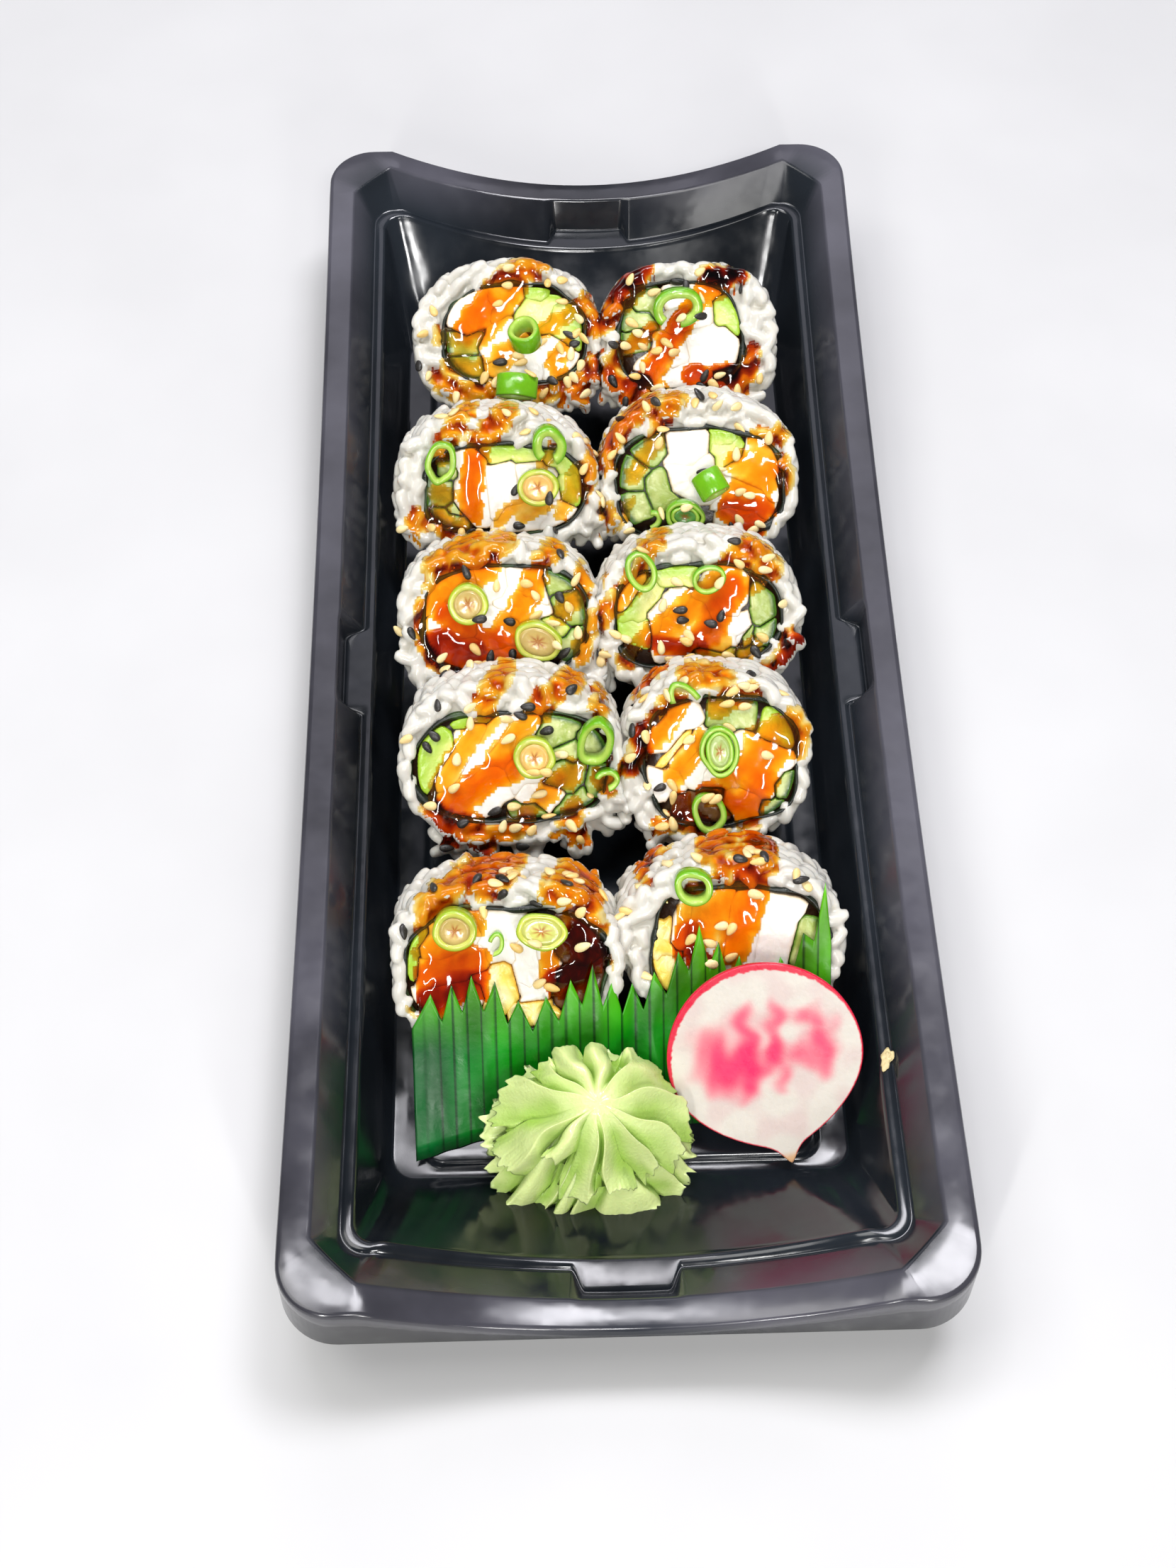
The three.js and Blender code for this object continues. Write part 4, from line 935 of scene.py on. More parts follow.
def kind_tint(kind, share, points, seed):
    """Colours at points of one block. share is how near they are to the seaweed."""
    fine = ripple(points, 1.6, seed)
    broad = ripple(points, 6.0, seed + 1)
    if kind == "avocado":
        change = smoothstep(0.55, 0.95, share + 0.06 * broad)
    elif kind == "chicken":
        change = smoothstep(0.5, 1.6, broad) * 0.6
    else:
        change = smoothstep(-0.8, 0.8, broad)
    tint = mix(*FLESH_TINTS[kind], change)
    if kind == "cucumber":
        tint = mix(tint, CUCUMBER_RIM, smoothstep(0.86, 0.93, share))
    return tint * (1 + 0.03 * fine)[:, None]


def block_distance(block, u, v):
    """How far points lie outside a block's drawn outline; below zero inside it."""
    _, middle_u, middle_v, length, width, turn = block
    x, y = turned(u - middle_u, v - middle_v, -math.radians(turn))
    x, y = np.abs(x) - length / 2, np.abs(y) - width / 2
    outside = (np.maximum(x, 0) ** 3 + np.maximum(y, 0) ** 3) ** (1 / 3)
    return outside + np.minimum(np.maximum(x, y), 0)


def pressed_reach(cut, block, others):
    """How far a block spreads, at angles round its middle, before it meets the seaweed or the next."""
    angle = circle(BLOCK_SIDES)
    steps = np.arange(SPREAD_STEP, SPREAD_MOST, SPREAD_STEP)
    u = block[1] + np.cos(angle)[:, None] * steps
    v = block[2] + np.sin(angle)[:, None] * steps
    own = block_distance(block, u, v)
    free = (own < BLOCK_GROW[block[0]]) & (cut.ring_share(u, v) < FILLING_REACH)
    for other in others:
        gap = BLOCK_JOIN if other[0] == block[0] else BLOCK_GAP
        if "cucumber" in (block[0], other[0]):
            gap = CUCUMBER_GAP
        free &= own < block_distance(other, u, v) - gap
    first_taken = np.argmin(free, axis=1)
    return np.maximum(steps[first_taken] - SPREAD_STEP, 0.2)


def add_block(mesh, cut, block, others, seed):
    numbers = np.random.default_rng(seed)
    kind, u, v = block[:3]
    height, spread, rough = TOPS[kind]
    top = height + numbers.uniform(-spread, spread)
    tilt = numbers.normal(size=2) * 0.02
    base = -cut.thick
    angle = circle(BLOCK_SIDES)
    reach = pressed_reach(cut, block, others)
    reach = np.minimum(reach, (np.roll(reach, 1) + np.roll(reach, -1)) / 2 + 0.35)
    # each row's inset from the block's side, its height, and how far its colour is the skin's
    profile = [(1.2, base + 0.6, 1), (0.3, base + 1.0, 1), (0.0, base + 1.8, 1), (0.0, top - 0.7, 1),
               (0.06, top - 0.3, 1), (0.22, top - 0.08, 0.8), (0.5, top, 0.25), (1.2, top + 0.03, 0),
               (2.2, top + 0.05, 0), (3.6, top + 0.05, 0)]
    rows = []
    for inset, z, _ in profile:
        near = np.maximum(reach - inset, reach * 0.85 ** (1 + inset))
        px, py = np.cos(angle) * near, np.sin(angle) * near
        points = np.column_stack([u + px, v + py, np.full(BLOCK_SIDES, z)])
        if z > base / 2:
            points[:, 2] += (px * tilt[0] + py * tilt[1]
                             + ripple(points, 2.4, seed + 3) * rough * (inset > 0.1))
        rows.append(points)
    points = capped_points(rows)
    shares = cut.ring_share(points[:, 0], points[:, 1])
    skin = np.repeat([share for _, _, share in profile], BLOCK_SIDES)
    tint = mix(kind_tint(kind, shares, points, seed), SKIN_TINTS[kind], np.append(skin, (1, 0)))
    mesh.add(cut.to_tray(points), capped_faces(len(rows), BLOCK_SIDES), tint)


def add_hollow(mesh, cut):
    """The inside of the slice, seen between the pieces of filling: painted shade, dark brown as filling
    soaked in sauce.
    """
    angle = circle(HOLLOW_STEPS)
    reach = cut.ring_reach(angle)
    low = 3.0 - cut.thick
    rows = [cut.at(angle, reach * scale, z) for scale, z in
            ((0.3, low), (0.7, low), (0.99, low), (0.99, -1.5), (0.7, -1.6), (0.3, -1.7))]
    mesh.add(cut.to_tray(capped_points(rows)), capped_faces(len(rows), HOLLOW_STEPS), HOLLOW_SHADE_TINT)


def fused(mesh, cut):
    """The grains and their core as one sticky surface, greyed by painted shade down between the grains."""
    points, faces, _ = mesh.arrays()
    data = bpy.data.meshes.new("loose_rice")
    data.from_pydata(points.tolist(), [], faces)
    loose = bpy.data.objects.new("loose_rice", data)
    bpy.context.scene.collection.objects.link(loose)
    remesh = loose.modifiers.new("fuse", "REMESH")
    remesh.mode = "VOXEL"
    remesh.voxel_size = RICE_VOXEL
    smooth = loose.modifiers.new("soften", "SMOOTH")
    smooth.factor = RICE_SOFTEN
    smooth.iterations = 1
    thin_out = loose.modifiers.new("thin_out", "DECIMATE")
    thin_out.ratio = RICE_KEEP
    result = loose.evaluated_get(bpy.context.evaluated_depsgraph_get()).to_mesh()
    places = np.empty(len(result.vertices) * 3)
    result.vertices.foreach_get("co", places)
    places = places.reshape(-1, 3)
    joined = Mesh()
    local = cut.from_tray(places)
    # painted shade: rice lying low, down between the grains, takes the crease colour
    on_face = smoothstep(*FACE_RAISED, local[:, 2])
    on_side = smoothstep(*SIDE_RAISED, cut.outline_share(local[:, 0], local[:, 1]))
    raised = np.where(local[:, 2] > -FACE_BAND, np.maximum(on_face, on_side), on_side)
    tint = mix(CREASE_SHADE_TINT, RICE_TINT, raised) * (1 + 0.04 * ripple(places, 5.0, 17))[:, None]
    joined.add(places, [tuple(face.vertices) for face in result.polygons], tint)
    bpy.data.objects.remove(loose)
    bpy.data.meshes.remove(data)
    return joined


def make_rolls():
    rice = tinted_material("rice", 0.20, 3.5, 0.05, 0.9, 0.08, subsurface=0.4, radius_mm=1.4)
    seaweed = tinted_material("seaweed", 0.35, 1.5, 0.4, 0.5, 0.5)
    filling = tinted_material("filling", 0.28, 3.0, 0.06, 0.8, 0.18, subsurface=0.15)
    meshes = []
    for number in ROLLS:
        cut = Slice(number)
        node = f"roll_{number}"
        grains, leaf, stuffing = Mesh(), Mesh(), Mesh()
        add_rice_core(grains, cut)
        add_grains(grains, cut)
        add_seaweed(leaf, cut)
        add_hollow(stuffing, cut)
        grains = fused(grains, cut)
        blocks = FILLINGS[number]
        for index, block in enumerate(blocks):
            add_block(stuffing, cut, block, blocks[:index] + blocks[index + 1:], number * 50 + index)
        make_piece(f"rice_{number}", grains, rice, [node])
        make_piece(f"seaweed_{number}", leaf, seaweed, [node])
        make_piece(f"filling_{number}", stuffing, filling, [node])
        meshes += [grains, leaf, stuffing]
    return meshes


# ---------------------------------------------------------------- surfaces to lie on
DROP_HEIGHT = 60.0                 # over everything


def surface_tree(meshes):
    joined = Mesh()
    for mesh in meshes:
        joined.add(*mesh.arrays())
    points, faces, _ = joined.arrays()
    return BVHTree.FromPolygons(points.tolist(), faces)


def drop_on(tree, x, y):
    """The highest surface at a place: its height and the way it faces, or None."""
    place, normal, _, _ = tree.ray_cast(Vector((x, y, DROP_HEIGHT)), Vector((0, 0, -1)))
    if place is None:
        return None
    return place.z, normal if normal.z > 0 else -normal


# ---------------------------------------------------------------- glaze
GLAZE_STEP = 0.42
GLAZE_BOX = (-46.0, 46.0, -92.0, 104.0)
GLAZE_JUMP = 2.9                   # the sheet tears where it would drop further than this in one step
GLAZE_STAIN = (0.03, 0.60, 2.9)    # how fast a millimetre of glaze takes red, green and blue away
GLAZE_POOL = (1.3, 0.40)           # how much a hollow full of glaze darkens, on rice and on filling
GLAZE_SOAK = 0.35                  # how much darker it looks where it has soaked into rice
GLAZE_FILM = 0.26                  # depth of the thin film beside each line
GLAZE_DARKENING = 0.018            # how much darker it gets with the cube of its depth
GLAZE_EMPTY = -5.0                 # ground height where nothing lies under it
GLAZE_LEAST, GLAZE_OVER, GLAZE_UNDER = 0.10, 0.12, 0.6 # least depth, and how far its two sides lie off
LEVEL_PASSES, TOP_PASSES, FILLING_PASSES = 16, 4, 3    # how far it levels out, and colours blend
SIDE_START, SIDE_SHARE = 1.2, 0.93 # where a slice's side starts: depth under its face, outline share
GLAZE_WOBBLE, GLAZE_WOBBLE_MM = 0.35, 3.2
GLAZE_OVERLAP = 0.25               # what a line adds to glaze that it crosses


def to_polyline(points, line):
    """Distance of each point to a line of points."""
    best = np.full(points.shape[:-1], 1e9)
    for start, end in zip(line[:-1], line[1:]):
        start, end = np.array(start, dtype=float), np.array(end, dtype=float)
        run = end - start
        share = np.clip(((points - start) @ run) / (run @ run), 0, 1)
        best = np.minimum(best, np.linalg.norm(points - start - share[..., None] * run, axis=-1))
    return best


def spread_out(values, passes):
    """Blurs a grid a little with each pass."""
    for _ in range(passes):
        padded = np.pad(values, 1, mode="edge")
        values = (padded[:-2, 1:-1] + padded[2:, 1:-1] + padded[1:-1, :-2] + padded[1:-1, 2:]
                  + 2 * values) / 6
    return values


def glaze_depth(cut, points, inside):
    """How deep the glaze lies at each point of the grid, from the slice's drizzle lines."""
    local = cut.from_tray(points)
    u, v, z = local[..., 0], local[..., 1], local[..., 2]
    share = np.maximum(cut.outline_share(u, v), 1e-3)
    reach = np.hypot(u, v) / share
    past = np.maximum(0, -z - SIDE_START) * (share > SIDE_SHARE)
    scale = np.where(past > 0, (reach + past / RIM_STRETCH) / np.maximum(np.hypot(u, v), 1e-3), 1.0)
    flat = np.stack([u * scale, v * scale], axis=-1)
    wobble = [ripple(flat, GLAZE_WOBBLE_MM, cut.number + seed) for seed in (80, 90)]
    flat = flat + GLAZE_WOBBLE * np.stack(wobble, axis=-1)
    on_rice = cut.ring_share(u, v) > 1.03
    depth = np.zeros(u.shape)
    for thickness, half_width, line in DRIZZLE[cut.number]:
        away = to_polyline(flat, line) / half_width
        bead = thickness * np.sqrt(np.clip(1 - away ** 2, 0, 1))
        film = GLAZE_FILM * np.clip((1.5 - away) / 0.5, 0, 1) * on_rice
        depth = np.maximum(np.maximum(depth, bead) + GLAZE_OVERLAP * np.minimum(depth, bead), film)
    near = inside & (z > -cut.thick) & (z < 1.5) & (share < 1.22)
    return np.where(near, depth * (1 + 0.06 * ripple(flat, 4.0, cut.number + 70)), 0)


def ground_under(tree, xs, ys):
    ground = np.full((len(ys), len(xs)), GLAZE_EMPTY)
    for row, y in enumerate(ys):
        for column, x in enumerate(xs):
            hit = drop_on(tree, x, y)
            if hit:
                ground[row, column] = hit[0]
    return ground


def make_glaze(tree):
    left, right, near, far = GLAZE_BOX
    xs = np.arange(left, right, GLAZE_STEP)
    ys = np.arange(near, far, GLAZE_STEP)
    ground = ground_under(tree, xs, ys)
    grid_x, grid_y = np.meshgrid(xs, ys)
    points = np.stack([grid_x, grid_y, ground], axis=-1)
    found = ground > 0
    depth = np.zeros(ground.shape)
    on_filling = np.zeros(ground.shape)
    for number in ROLLS:
        cut = Slice(number)
        depth = np.maximum(depth, glaze_depth(cut, points, found))
        local = cut.from_tray(points)
        inside = (cut.ring_share(local[..., 0], local[..., 1]) < 0.97) & (np.abs(local[..., 2]) < 3)
        on_filling = np.maximum(on_filling, inside)
    level = spread_out(ground, LEVEL_PASSES) + 0.45 * depth
    top = np.clip(level, ground + np.minimum(0.15, depth), ground + 1.0 + 0.8 * depth)
    top = np.maximum(spread_out(top, TOP_PASSES), ground + GLAZE_OVER)
    wet = depth > GLAZE_LEAST
    cell = wet[:-1, :-1] & wet[1:, :-1] & wet[:-1, 1:] & wet[1:, 1:]
    corners = np.stack([top[:-1, :-1], top[1:, :-1], top[:-1, 1:], top[1:, 1:]])
    cell &= corners.max(axis=0) - corners.min(axis=0) < GLAZE_JUMP
    filling = spread_out(on_filling, FILLING_PASSES)
    pool = GLAZE_POOL[0] + (GLAZE_POOL[1] - GLAZE_POOL[0]) * filling
    body = 0.8 * depth + pool * np.maximum(0, top - ground - 0.15)
    body = body * (1 + GLAZE_SOAK * (1 - filling))
    tint = np.exp(-body[..., None] * np.array(GLAZE_STAIN) - GLAZE_DARKENING * body[..., None] ** 3)
    mesh = Mesh()
    add_sheet(mesh, grid_x, grid_y, top, ground - GLAZE_UNDER, cell, tint)
    make_piece("glaze", mesh, glaze_material())
    return mesh


def add_sheet(mesh, grid_x, grid_y, top, bottom, cell, tint):
    """A closed sheet over the marked cells of a grid, between its top and bottom heights."""
    rows, columns = grid_x.shape
    used = np.zeros(grid_x.shape, dtype=bool)
    used[:-1, :-1] |= cell
    used[1:, :-1] |= cell
    used[:-1, 1:] |= cell
    used[1:, 1:] |= cell
    index = np.cumsum(used.ravel()).reshape(used.shape) - 1
    count = int(used.sum())
    upper = np.column_stack([grid_x[used], grid_y[used], top[used]])
    lower = np.column_stack([grid_x[used], grid_y[used], bottom[used]])
    faces = []
    for row, column in zip(*np.nonzero(cell)):
        a, b = index[row, column], index[row, column + 1]
        c, d = index[row + 1, column + 1], index[row + 1, column]
        faces.append((a, b, c, d))
        faces.append((a + count, d + count, c + count, b + count))
        beside = (((row - 1, column), a, b), ((row, column + 1), b, c), ((row + 1, column), c, d),
                  ((row, column - 1), d, a))
        for (r, k), start, end in beside:
            if not (0 <= r < rows - 1 and 0 <= k < columns - 1 and cell[r, k]):
                faces.append((end, start, start + count, end + count))
    mesh.add(np.concatenate([upper, lower]), faces, np.concatenate([tint[used]] * 2))


# ---------------------------------------------------------------- sesame
SEED_HEIGHT = 1.0
SEED_SIZES = ((3.0, 0.85, 1.12), (1.8, 0.85, 1.1), (SEED_HEIGHT, 0.8, 1.15))   # and their bounds
SEED_LIFT, SEED_TILT = 0.3, 0.12   # rise of its middle beside its height, and how unevenly it lies
SEED_LOWEST = 3                    # a seed that would land lower is left out
GOLDEN_TINTS = (0.90, 0.58, 0.17), (0.98, 0.80, 0.42)
BLACK_TINTS = (0.012, 0.012, 0.011), (0.05, 0.045, 0.04)


def scatter_seeds(tree, places, seed, tints):
    """Lays a seed at each (x, y, turn) on whatever is under it."""
    numbers = np.random.default_rng(seed)
    centres, along, normals = [], [], []
    for x, y, turn in places:
        hit = drop_on(tree, x, y)
        if hit is None or hit[0] < SEED_LOWEST:
            continue
        height, normal = hit
        normal = (Vector(normal) + Vector(numbers.normal(size=3) * SEED_TILT)).normalized()
        flat = Vector((math.cos(turn), math.sin(turn), 0))
        direction = (flat - normal * flat.dot(normal)).normalized()
        centres.append(Vector((x, y, height)) + normal * SEED_HEIGHT * SEED_LIFT)
        along.append(direction)
        normals.append(normal)
    pieces = len(centres)
    template, faces = pod(10, 8, lambda swell, x: 0.5 * swell * (1 - 0.55 * x) / 1.05)
    sizes = varied(numbers, pieces, SEED_SIZES)
    copies = placed(template, np.array(centres), np.array(along), np.array(normals), sizes)
    mesh = Mesh()
    mesh.add_copies(copies, faces, mix(*tints, numbers.uniform(0, 1, pieces)))
    return mesh


def make_sesame(tree):
    numbers = np.random.default_rng(5)
    black, golden = [], []
    for number in ROLLS:
        cut = Slice(number)
        for found, seeds in ((black, BLACK_SEEDS), (golden, GOLDEN_SEEDS)):
            for u, v in seeds[number]:
                du, dv = numbers.uniform(-0.5, 0.5, 2)
                x, y, _ = cut.to_tray(np.array((u + du, v + dv, 0.0)))
                found.append((x, y, numbers.uniform(0, 2 * math.pi)))
    pale = tinted_material("sesame_golden", 0.35, 1.2, 0.12, 0.5, 0.25, subsurface=0.1)
    dark = tinted_material("sesame_black", 0.35, 1.0, 0.3, 0.4, 0.5)
    make_piece("sesame_golden", scatter_seeds(tree, golden, 6, GOLDEN_TINTS), pale)
    make_piece("sesame_black", scatter_seeds(tree, black, 7, BLACK_TINTS), dark)


# ---------------------------------------------------------------- spring onion
ONION_STEPS = 40
ONION_GAP = 0.4                    # between a slice of onion and the face it lies on
ONION_UNEVEN, ONION_BEVEL = 0.035, 0.3
CORE_TINTS = dict(sauce=(0.74, 0.46, 0.12), tan=(0.52, 0.38, 0.11), pale=(0.50, 0.52, 0.12),
                  leaf=(0.10, 0.30, 0.06), inner=(0.40, 0.52, 0.16))
SKIN, CUT_FACE = (0.16, 0.46, 0.008), (0.44, 0.66, 0.10)
SOAKED_SKIN, SOAKED_CUT_FACE = (0.36, 0.52, 0.02), (0.60, 0.62, 0.10)
SAUCE_TINT = (0.42, 0.12, 0.02)
# share of the core's radius, and height beside its top, for each row of a core
CORE_PROFILE = [(0.5, -0.8), (1.0, -0.6), (1.0, 0.0), (0.8, 0.05), (0.6, 0.0), (0.45, -0.08),
                (0.32, -0.14), (0.2, -0.2), (0.08, -0.24)]
THICKER = 1.3                      # soft leaf swells past the wall thickness that the part gives


def onion_to_tray(item, points):
    tip, turn = math.radians(item["tip"]), math.radians(item["turn"])
    lift = (ONION_GAP + item["length"] / 2 * math.cos(abs(tip))
            + max(item["radii"]) * math.sin(abs(tip)))
    y, z = turned(points[..., 1], points[..., 2], tip)
    x, y = turned(points[..., 0], y, turn)
    local = np.stack([x + item["at"][0], y + item["at"][1], z + lift], axis=-1)
    return Slice(item["on"]).to_tray(local)


def onion_band(mesh, item, radii, wall, half, seed, skin, cut_face):
    """One leaf wall of the slice: a ring, or an open arc with closed ends."""
    whole = item["sweep"] == 360
    sweep = math.radians(item["sweep"])
    steps = ONION_STEPS if whole else max(10, round(ONION_STEPS * sweep / (2 * math.pi)))
    angle = (np.arange(steps) / (steps if whole else steps - 1)) * sweep - math.pi / 2
    uneven = 1 + ONION_UNEVEN * ripple(on_circle(angle), 1.6, seed)
    edge = min(ONION_BEVEL, wall * 0.3)
    section = [(0.0, -half + edge), (0.0, 0.0), (0.0, half - edge), (edge * 0.4, half - edge * 0.3),
               (edge, half), (wall / 2, half + 0.02), (wall - edge, half), (wall, half - edge), (wall, 0.0),
               (wall, -half + edge), (wall - edge, -half), (edge, -half)]
    rows = []
    for inset, z in section:
        x = np.cos(angle) * (radii[0] * uneven - inset)
        y = np.sin(angle) * (radii[1] * uneven - inset)
        slope = z + 0.10 * ripple(on_circle(angle), 2.0, seed + 5)
        rows.append(np.column_stack([x, y, slope]))
    depth = np.array([inset / wall for inset, _ in section])
    top = np.array([abs(z) > half - edge - 1e-6 for _, z in section])
    tint = np.where(top[:, None], mix(skin, cut_face, smoothstep(0.1, 0.45, depth)),
                    mix(skin, cut_face, smoothstep(0.4, 1.0, depth) * 0.7))
    grid = np.stack(rows, axis=1)
    tints = tint * (1 + 0.06 * ripple(grid, 2.5, seed + 9))[..., None]
    count = len(section)
    faces = ring_faces(steps, count, closed_rows=whole)
    if not whole:
        faces.append(tuple(range(count)))
        faces.append(tuple(range((steps - 1) * count, steps * count)))
    mesh.add(onion_to_tray(item, grid), faces, tints.reshape(-1, 3))


def onion_core(mesh, item, radii, height, colour, seed):
    """What fills a slice: a disc with a darker star, as where sauce soaks its middle."""
    angle = circle(ONION_STEPS)
    star = 0.5 + 0.5 * np.cos(angle * 8 + ripple(on_circle(angle), 2.0, seed))
    rows, tints = [], []
    for share, z in CORE_PROFILE:
        rows.append(oval(angle, radii[0] * share, radii[1] * share, height + z))
        pale = mix(np.array(colour) * 1.25, colour, smoothstep(0.4, 0.9, share))
        tints.append(mix(pale, SAUCE_TINT, smoothstep(0.75, 0.15, share + 0.35 * star)))
    colours = np.concatenate(tints + [tints[0][:1], tints[-1][:1]])
    mesh.add(onion_to_tray(item, capped_points(rows)), capped_faces(len(rows), ONION_STEPS), colours)


def narrowed(item, walls):
    """The radii of what lies inside that many wall thicknesses of a slice."""
    return [radius - item["wall"] * walls for radius in item["radii"]]


def make_onions():
    material = tinted_material("spring_onion", 0.22, 2.0, 0.10, 0.9, 0.15, subsurface=0.15, radius_mm=0.8,
                               coat=0.3)
    meshes = []
    for index, item in enumerate(ONIONS, 1):
        mesh = Mesh()
        radii, wall, half, core = item["radii"], item["wall"], item["length"] / 2, item["core"]
        if core in ("tan", "pale", "sauce"):
            onion_band(mesh, item, radii, wall * 0.9, half, index, SOAKED_SKIN, SOAKED_CUT_FACE)
            onion_core(mesh, item, narrowed(item, 0.8), half * 0.9, CORE_TINTS[core], index)
        elif core:
            onion_band(mesh, item, radii, wall * 0.72, half, index, SKIN, CUT_FACE)
            onion_band(mesh, item, narrowed(item, 0.8), wall * 0.7, half * 0.92, index + 30, SKIN, CUT_FACE)
            onion_core(mesh, item, narrowed(item, 1.42), half * 0.8, CORE_TINTS[core], index)
        else:
            onion_band(mesh, item, radii, wall * THICKER, half, index, SKIN, CUT_FACE)
        make_piece(f"onion_slice_{index}", mesh, material, [f"onion_{index}"])
        meshes.append(mesh)
    return meshes


# ---------------------------------------------------------------- plastic grass
GRASS_COLUMNS_PER_STEP = 8
GRASS_ROWS, GRASS_FOLD_ROW = 15, 7 # rows from foot to tips, and the one that lies on the fold
GRASS_BLEND = 4                    # half width in which the fold passes from one slice to the next
GRASS_WAVE, GRASS_FRONT = 0.10, 0.25
FAR_GREEN, NEAR_GREEN = (0.001, 0.11, 0.018), (0.002, 0.22, 0.004)
# the tips' lighter yellow-green is painted light shining through the thin plastic
TIP_GLOW_GREEN, LINE_GREEN = (0.12, 0.46, 0.006), (0.001, 0.020, 0.004)


def grass_fold(x):
    """Where the strip bends back over the near edge of the last two slices."""
    edges = []
    for number in (9, 10):
        cut = Slice(number)
        low = -cut.roll["height"] / 2
        edges.append((cut.roll["place"][1] + low * math.cos(cut.lean),
                      cut.face_height + low * math.sin(cut.lean), cut.lean))
    blend = smoothstep(-GRASS_BLEND, GRASS_BLEND, x)
    y, z, lean = (edges[0][k] * (1 - blend) + edges[1][k] * blend for k in range(3))
    return y - GRASS["lift"] * np.sin(lean), z + GRASS["lift"] * np.cos(lean), lean


def grass_top():
    """The corners of its upper edge, as (x, height over the fold): tips with valleys between them."""
    top = [GRASS["left"]]
    tips = GRASS["tips"]
    for here, after in zip(tips, tips[1:] + [None]):
        top.append(here)
        if after:
            top.append(((here[0] + after[0]) / 2, max(1, (here[1] + after[1]) / 2 - GRASS["valley"])))
    return top + [GRASS["right"]]


def grass_tint(x, y, z, fold_z):
    tip_share = np.clip((z - fold_z[:, None]) / 14, 0, 1)
    vein = np.abs(((x + 0.6) / VEIN_PITCH) % 1 - 0.5) * 2
    tint = mix(FAR_GREEN, NEAR_GREEN, smoothstep(-36, -18, x))
    # painted light: towards the tips the strip takes the lighter yellow-green
    tint = mix(tint, TIP_GLOW_GREEN, tip_share * 0.9)
    tint = mix(tint, LINE_GREEN, smoothstep(0.20, 0.06, vein) * 0.9)
    return tint * (1 + 0.3 * ripple(np.stack([x, y + z], axis=-1) / (1, 3), 9.0, 3))[..., None]


def make_grass():
    corner_x, corner_height = np.array(grass_top()).T
    xs = np.concatenate([np.linspace(a, b, GRASS_COLUMNS_PER_STEP, endpoint=False)
                         for a, b in zip(corner_x[:-1], corner_x[1:])] + [corner_x[-1:]])
    height = np.interp(xs, corner_x, corner_height)
    foot = np.interp(xs, *zip(*GRASS["foot"]))
    fold_y, fold_z, lean = grass_fold(xs)
    rise_y, rise_z = np.cos(lean), np.sin(lean)
    shares = np.linspace(0, 1, GRASS_ROWS)
    fold_share = shares[GRASS_FOLD_ROW]
    rows = []
    for share in shares[:GRASS_FOLD_ROW + 1]:
        along = share / fold_share
        rows.append((foot + (fold_y - foot) * along, PANEL_TOP + (fold_z - PANEL_TOP) * along))
    for share in shares[GRASS_FOLD_ROW + 1:]:
        along = (share - fold_share) / (1 - fold_share)
        rows.append((fold_y + height * rise_y * along, fold_z + height * rise_z * along))
    y = np.stack([row[0] for row in rows], axis=1)
    z = np.stack([row[1] for row in rows], axis=1)
    x = np.repeat(xs[:, None], len(rows), axis=1)
    wave = GRASS_WAVE * np.sin((x + 0.05 * z) * 2 * math.pi / (VEIN_PITCH * 2))
    front = GRASS_FRONT + wave
    aside, up = rise_z[:, None], rise_y[:, None]
    thin = GRASS["thickness"] * 0.5
    upper = np.stack([x, y - front * aside - thin, z + front * up], axis=-1)
    lower = np.stack([x, y - (wave - 0.05) * aside - thin * 0.4, z + wave * up], axis=-1)
    lower[:, 0, 2] = upper[:, 0, 2] = PANEL_TOP
    mesh = Mesh()
    add_slab(mesh, upper, lower, grass_tint(x, y, z, fold_z))
    material = tinted_material("leaf_plastic", 0.36, 6.0, 0.15, 2.0, 0.10, specular=0.35)
    make_piece("grass_strip", mesh, material, ["grass"])


def add_slab(mesh, upper, lower, tint):
    """A thin closed sheet between two grids of points."""
    columns, rows = upper.shape[:2]
    shift = columns * rows
    faces = []
    for i in range(columns - 1):
        for j in range(rows - 1):
            a = i * rows + j
            faces.append((a, a + 1, a + rows + 1, a + rows))
            faces.append((a + shift, a + rows + shift, a + rows + 1 + shift, a + 1 + shift))
    border = [i * rows for i in range(columns)]
    border += [(columns - 1) * rows + j for j in range(1, rows)]
    border += [i * rows + rows - 1 for i in range(columns - 2, -1, -1)]
    border += [j for j in range(rows - 2, 0, -1)]
    for a, b in zip(border, border[1:] + border[:1]):
        faces.append((a, b, b + shift, a + shift))
    points = np.concatenate([upper.reshape(-1, 3), lower.reshape(-1, 3)])
    mesh.add(points, faces, np.tile(tint.reshape(-1, 3), (2, 1)))


# ---------------------------------------------------------------- wasabi rosette
WASABI_AROUND, FOOT_STEPS = 640, 60
# rows of a tier, as shares of the way from the apex to the tips, closer together at the tips
TIER_SHARES = np.concatenate([np.linspace(0.03, 0.9, 34), np.linspace(0.915, 1, 8)])
UNDER_SHARES = (0.86, 0.6, 0.35)
LOWER_DROP, TIER_THICK = 5.2, 2.4  # the lower tier hangs this far under the upper one
WASABI_LIP = 0.5                   # thickness of a tip that lies on the panel
PETAL_BROW = 0.86                  # where across a petal its raised edge starts to drop away
WASABI_TINT = (0.70, 0.82, 0.33)
WASABI_SHADED = (0.50, 0.68, 0.26) # painted shade: what is left of that colour down in the folds and under the petals


def petal(angle, half_angle, length, rise, curl, side=0):
    """One petal: direction and half width in degrees, length as a share of the rosette, and the side
    of its raised edge: 1 anticlockwise, -1 clockwise, 0 a rounded ridge."""
    return dict(angle=math.radians(angle), half=math.radians(half_angle), length=length, rise=rise, curl=curl,
                side=side)


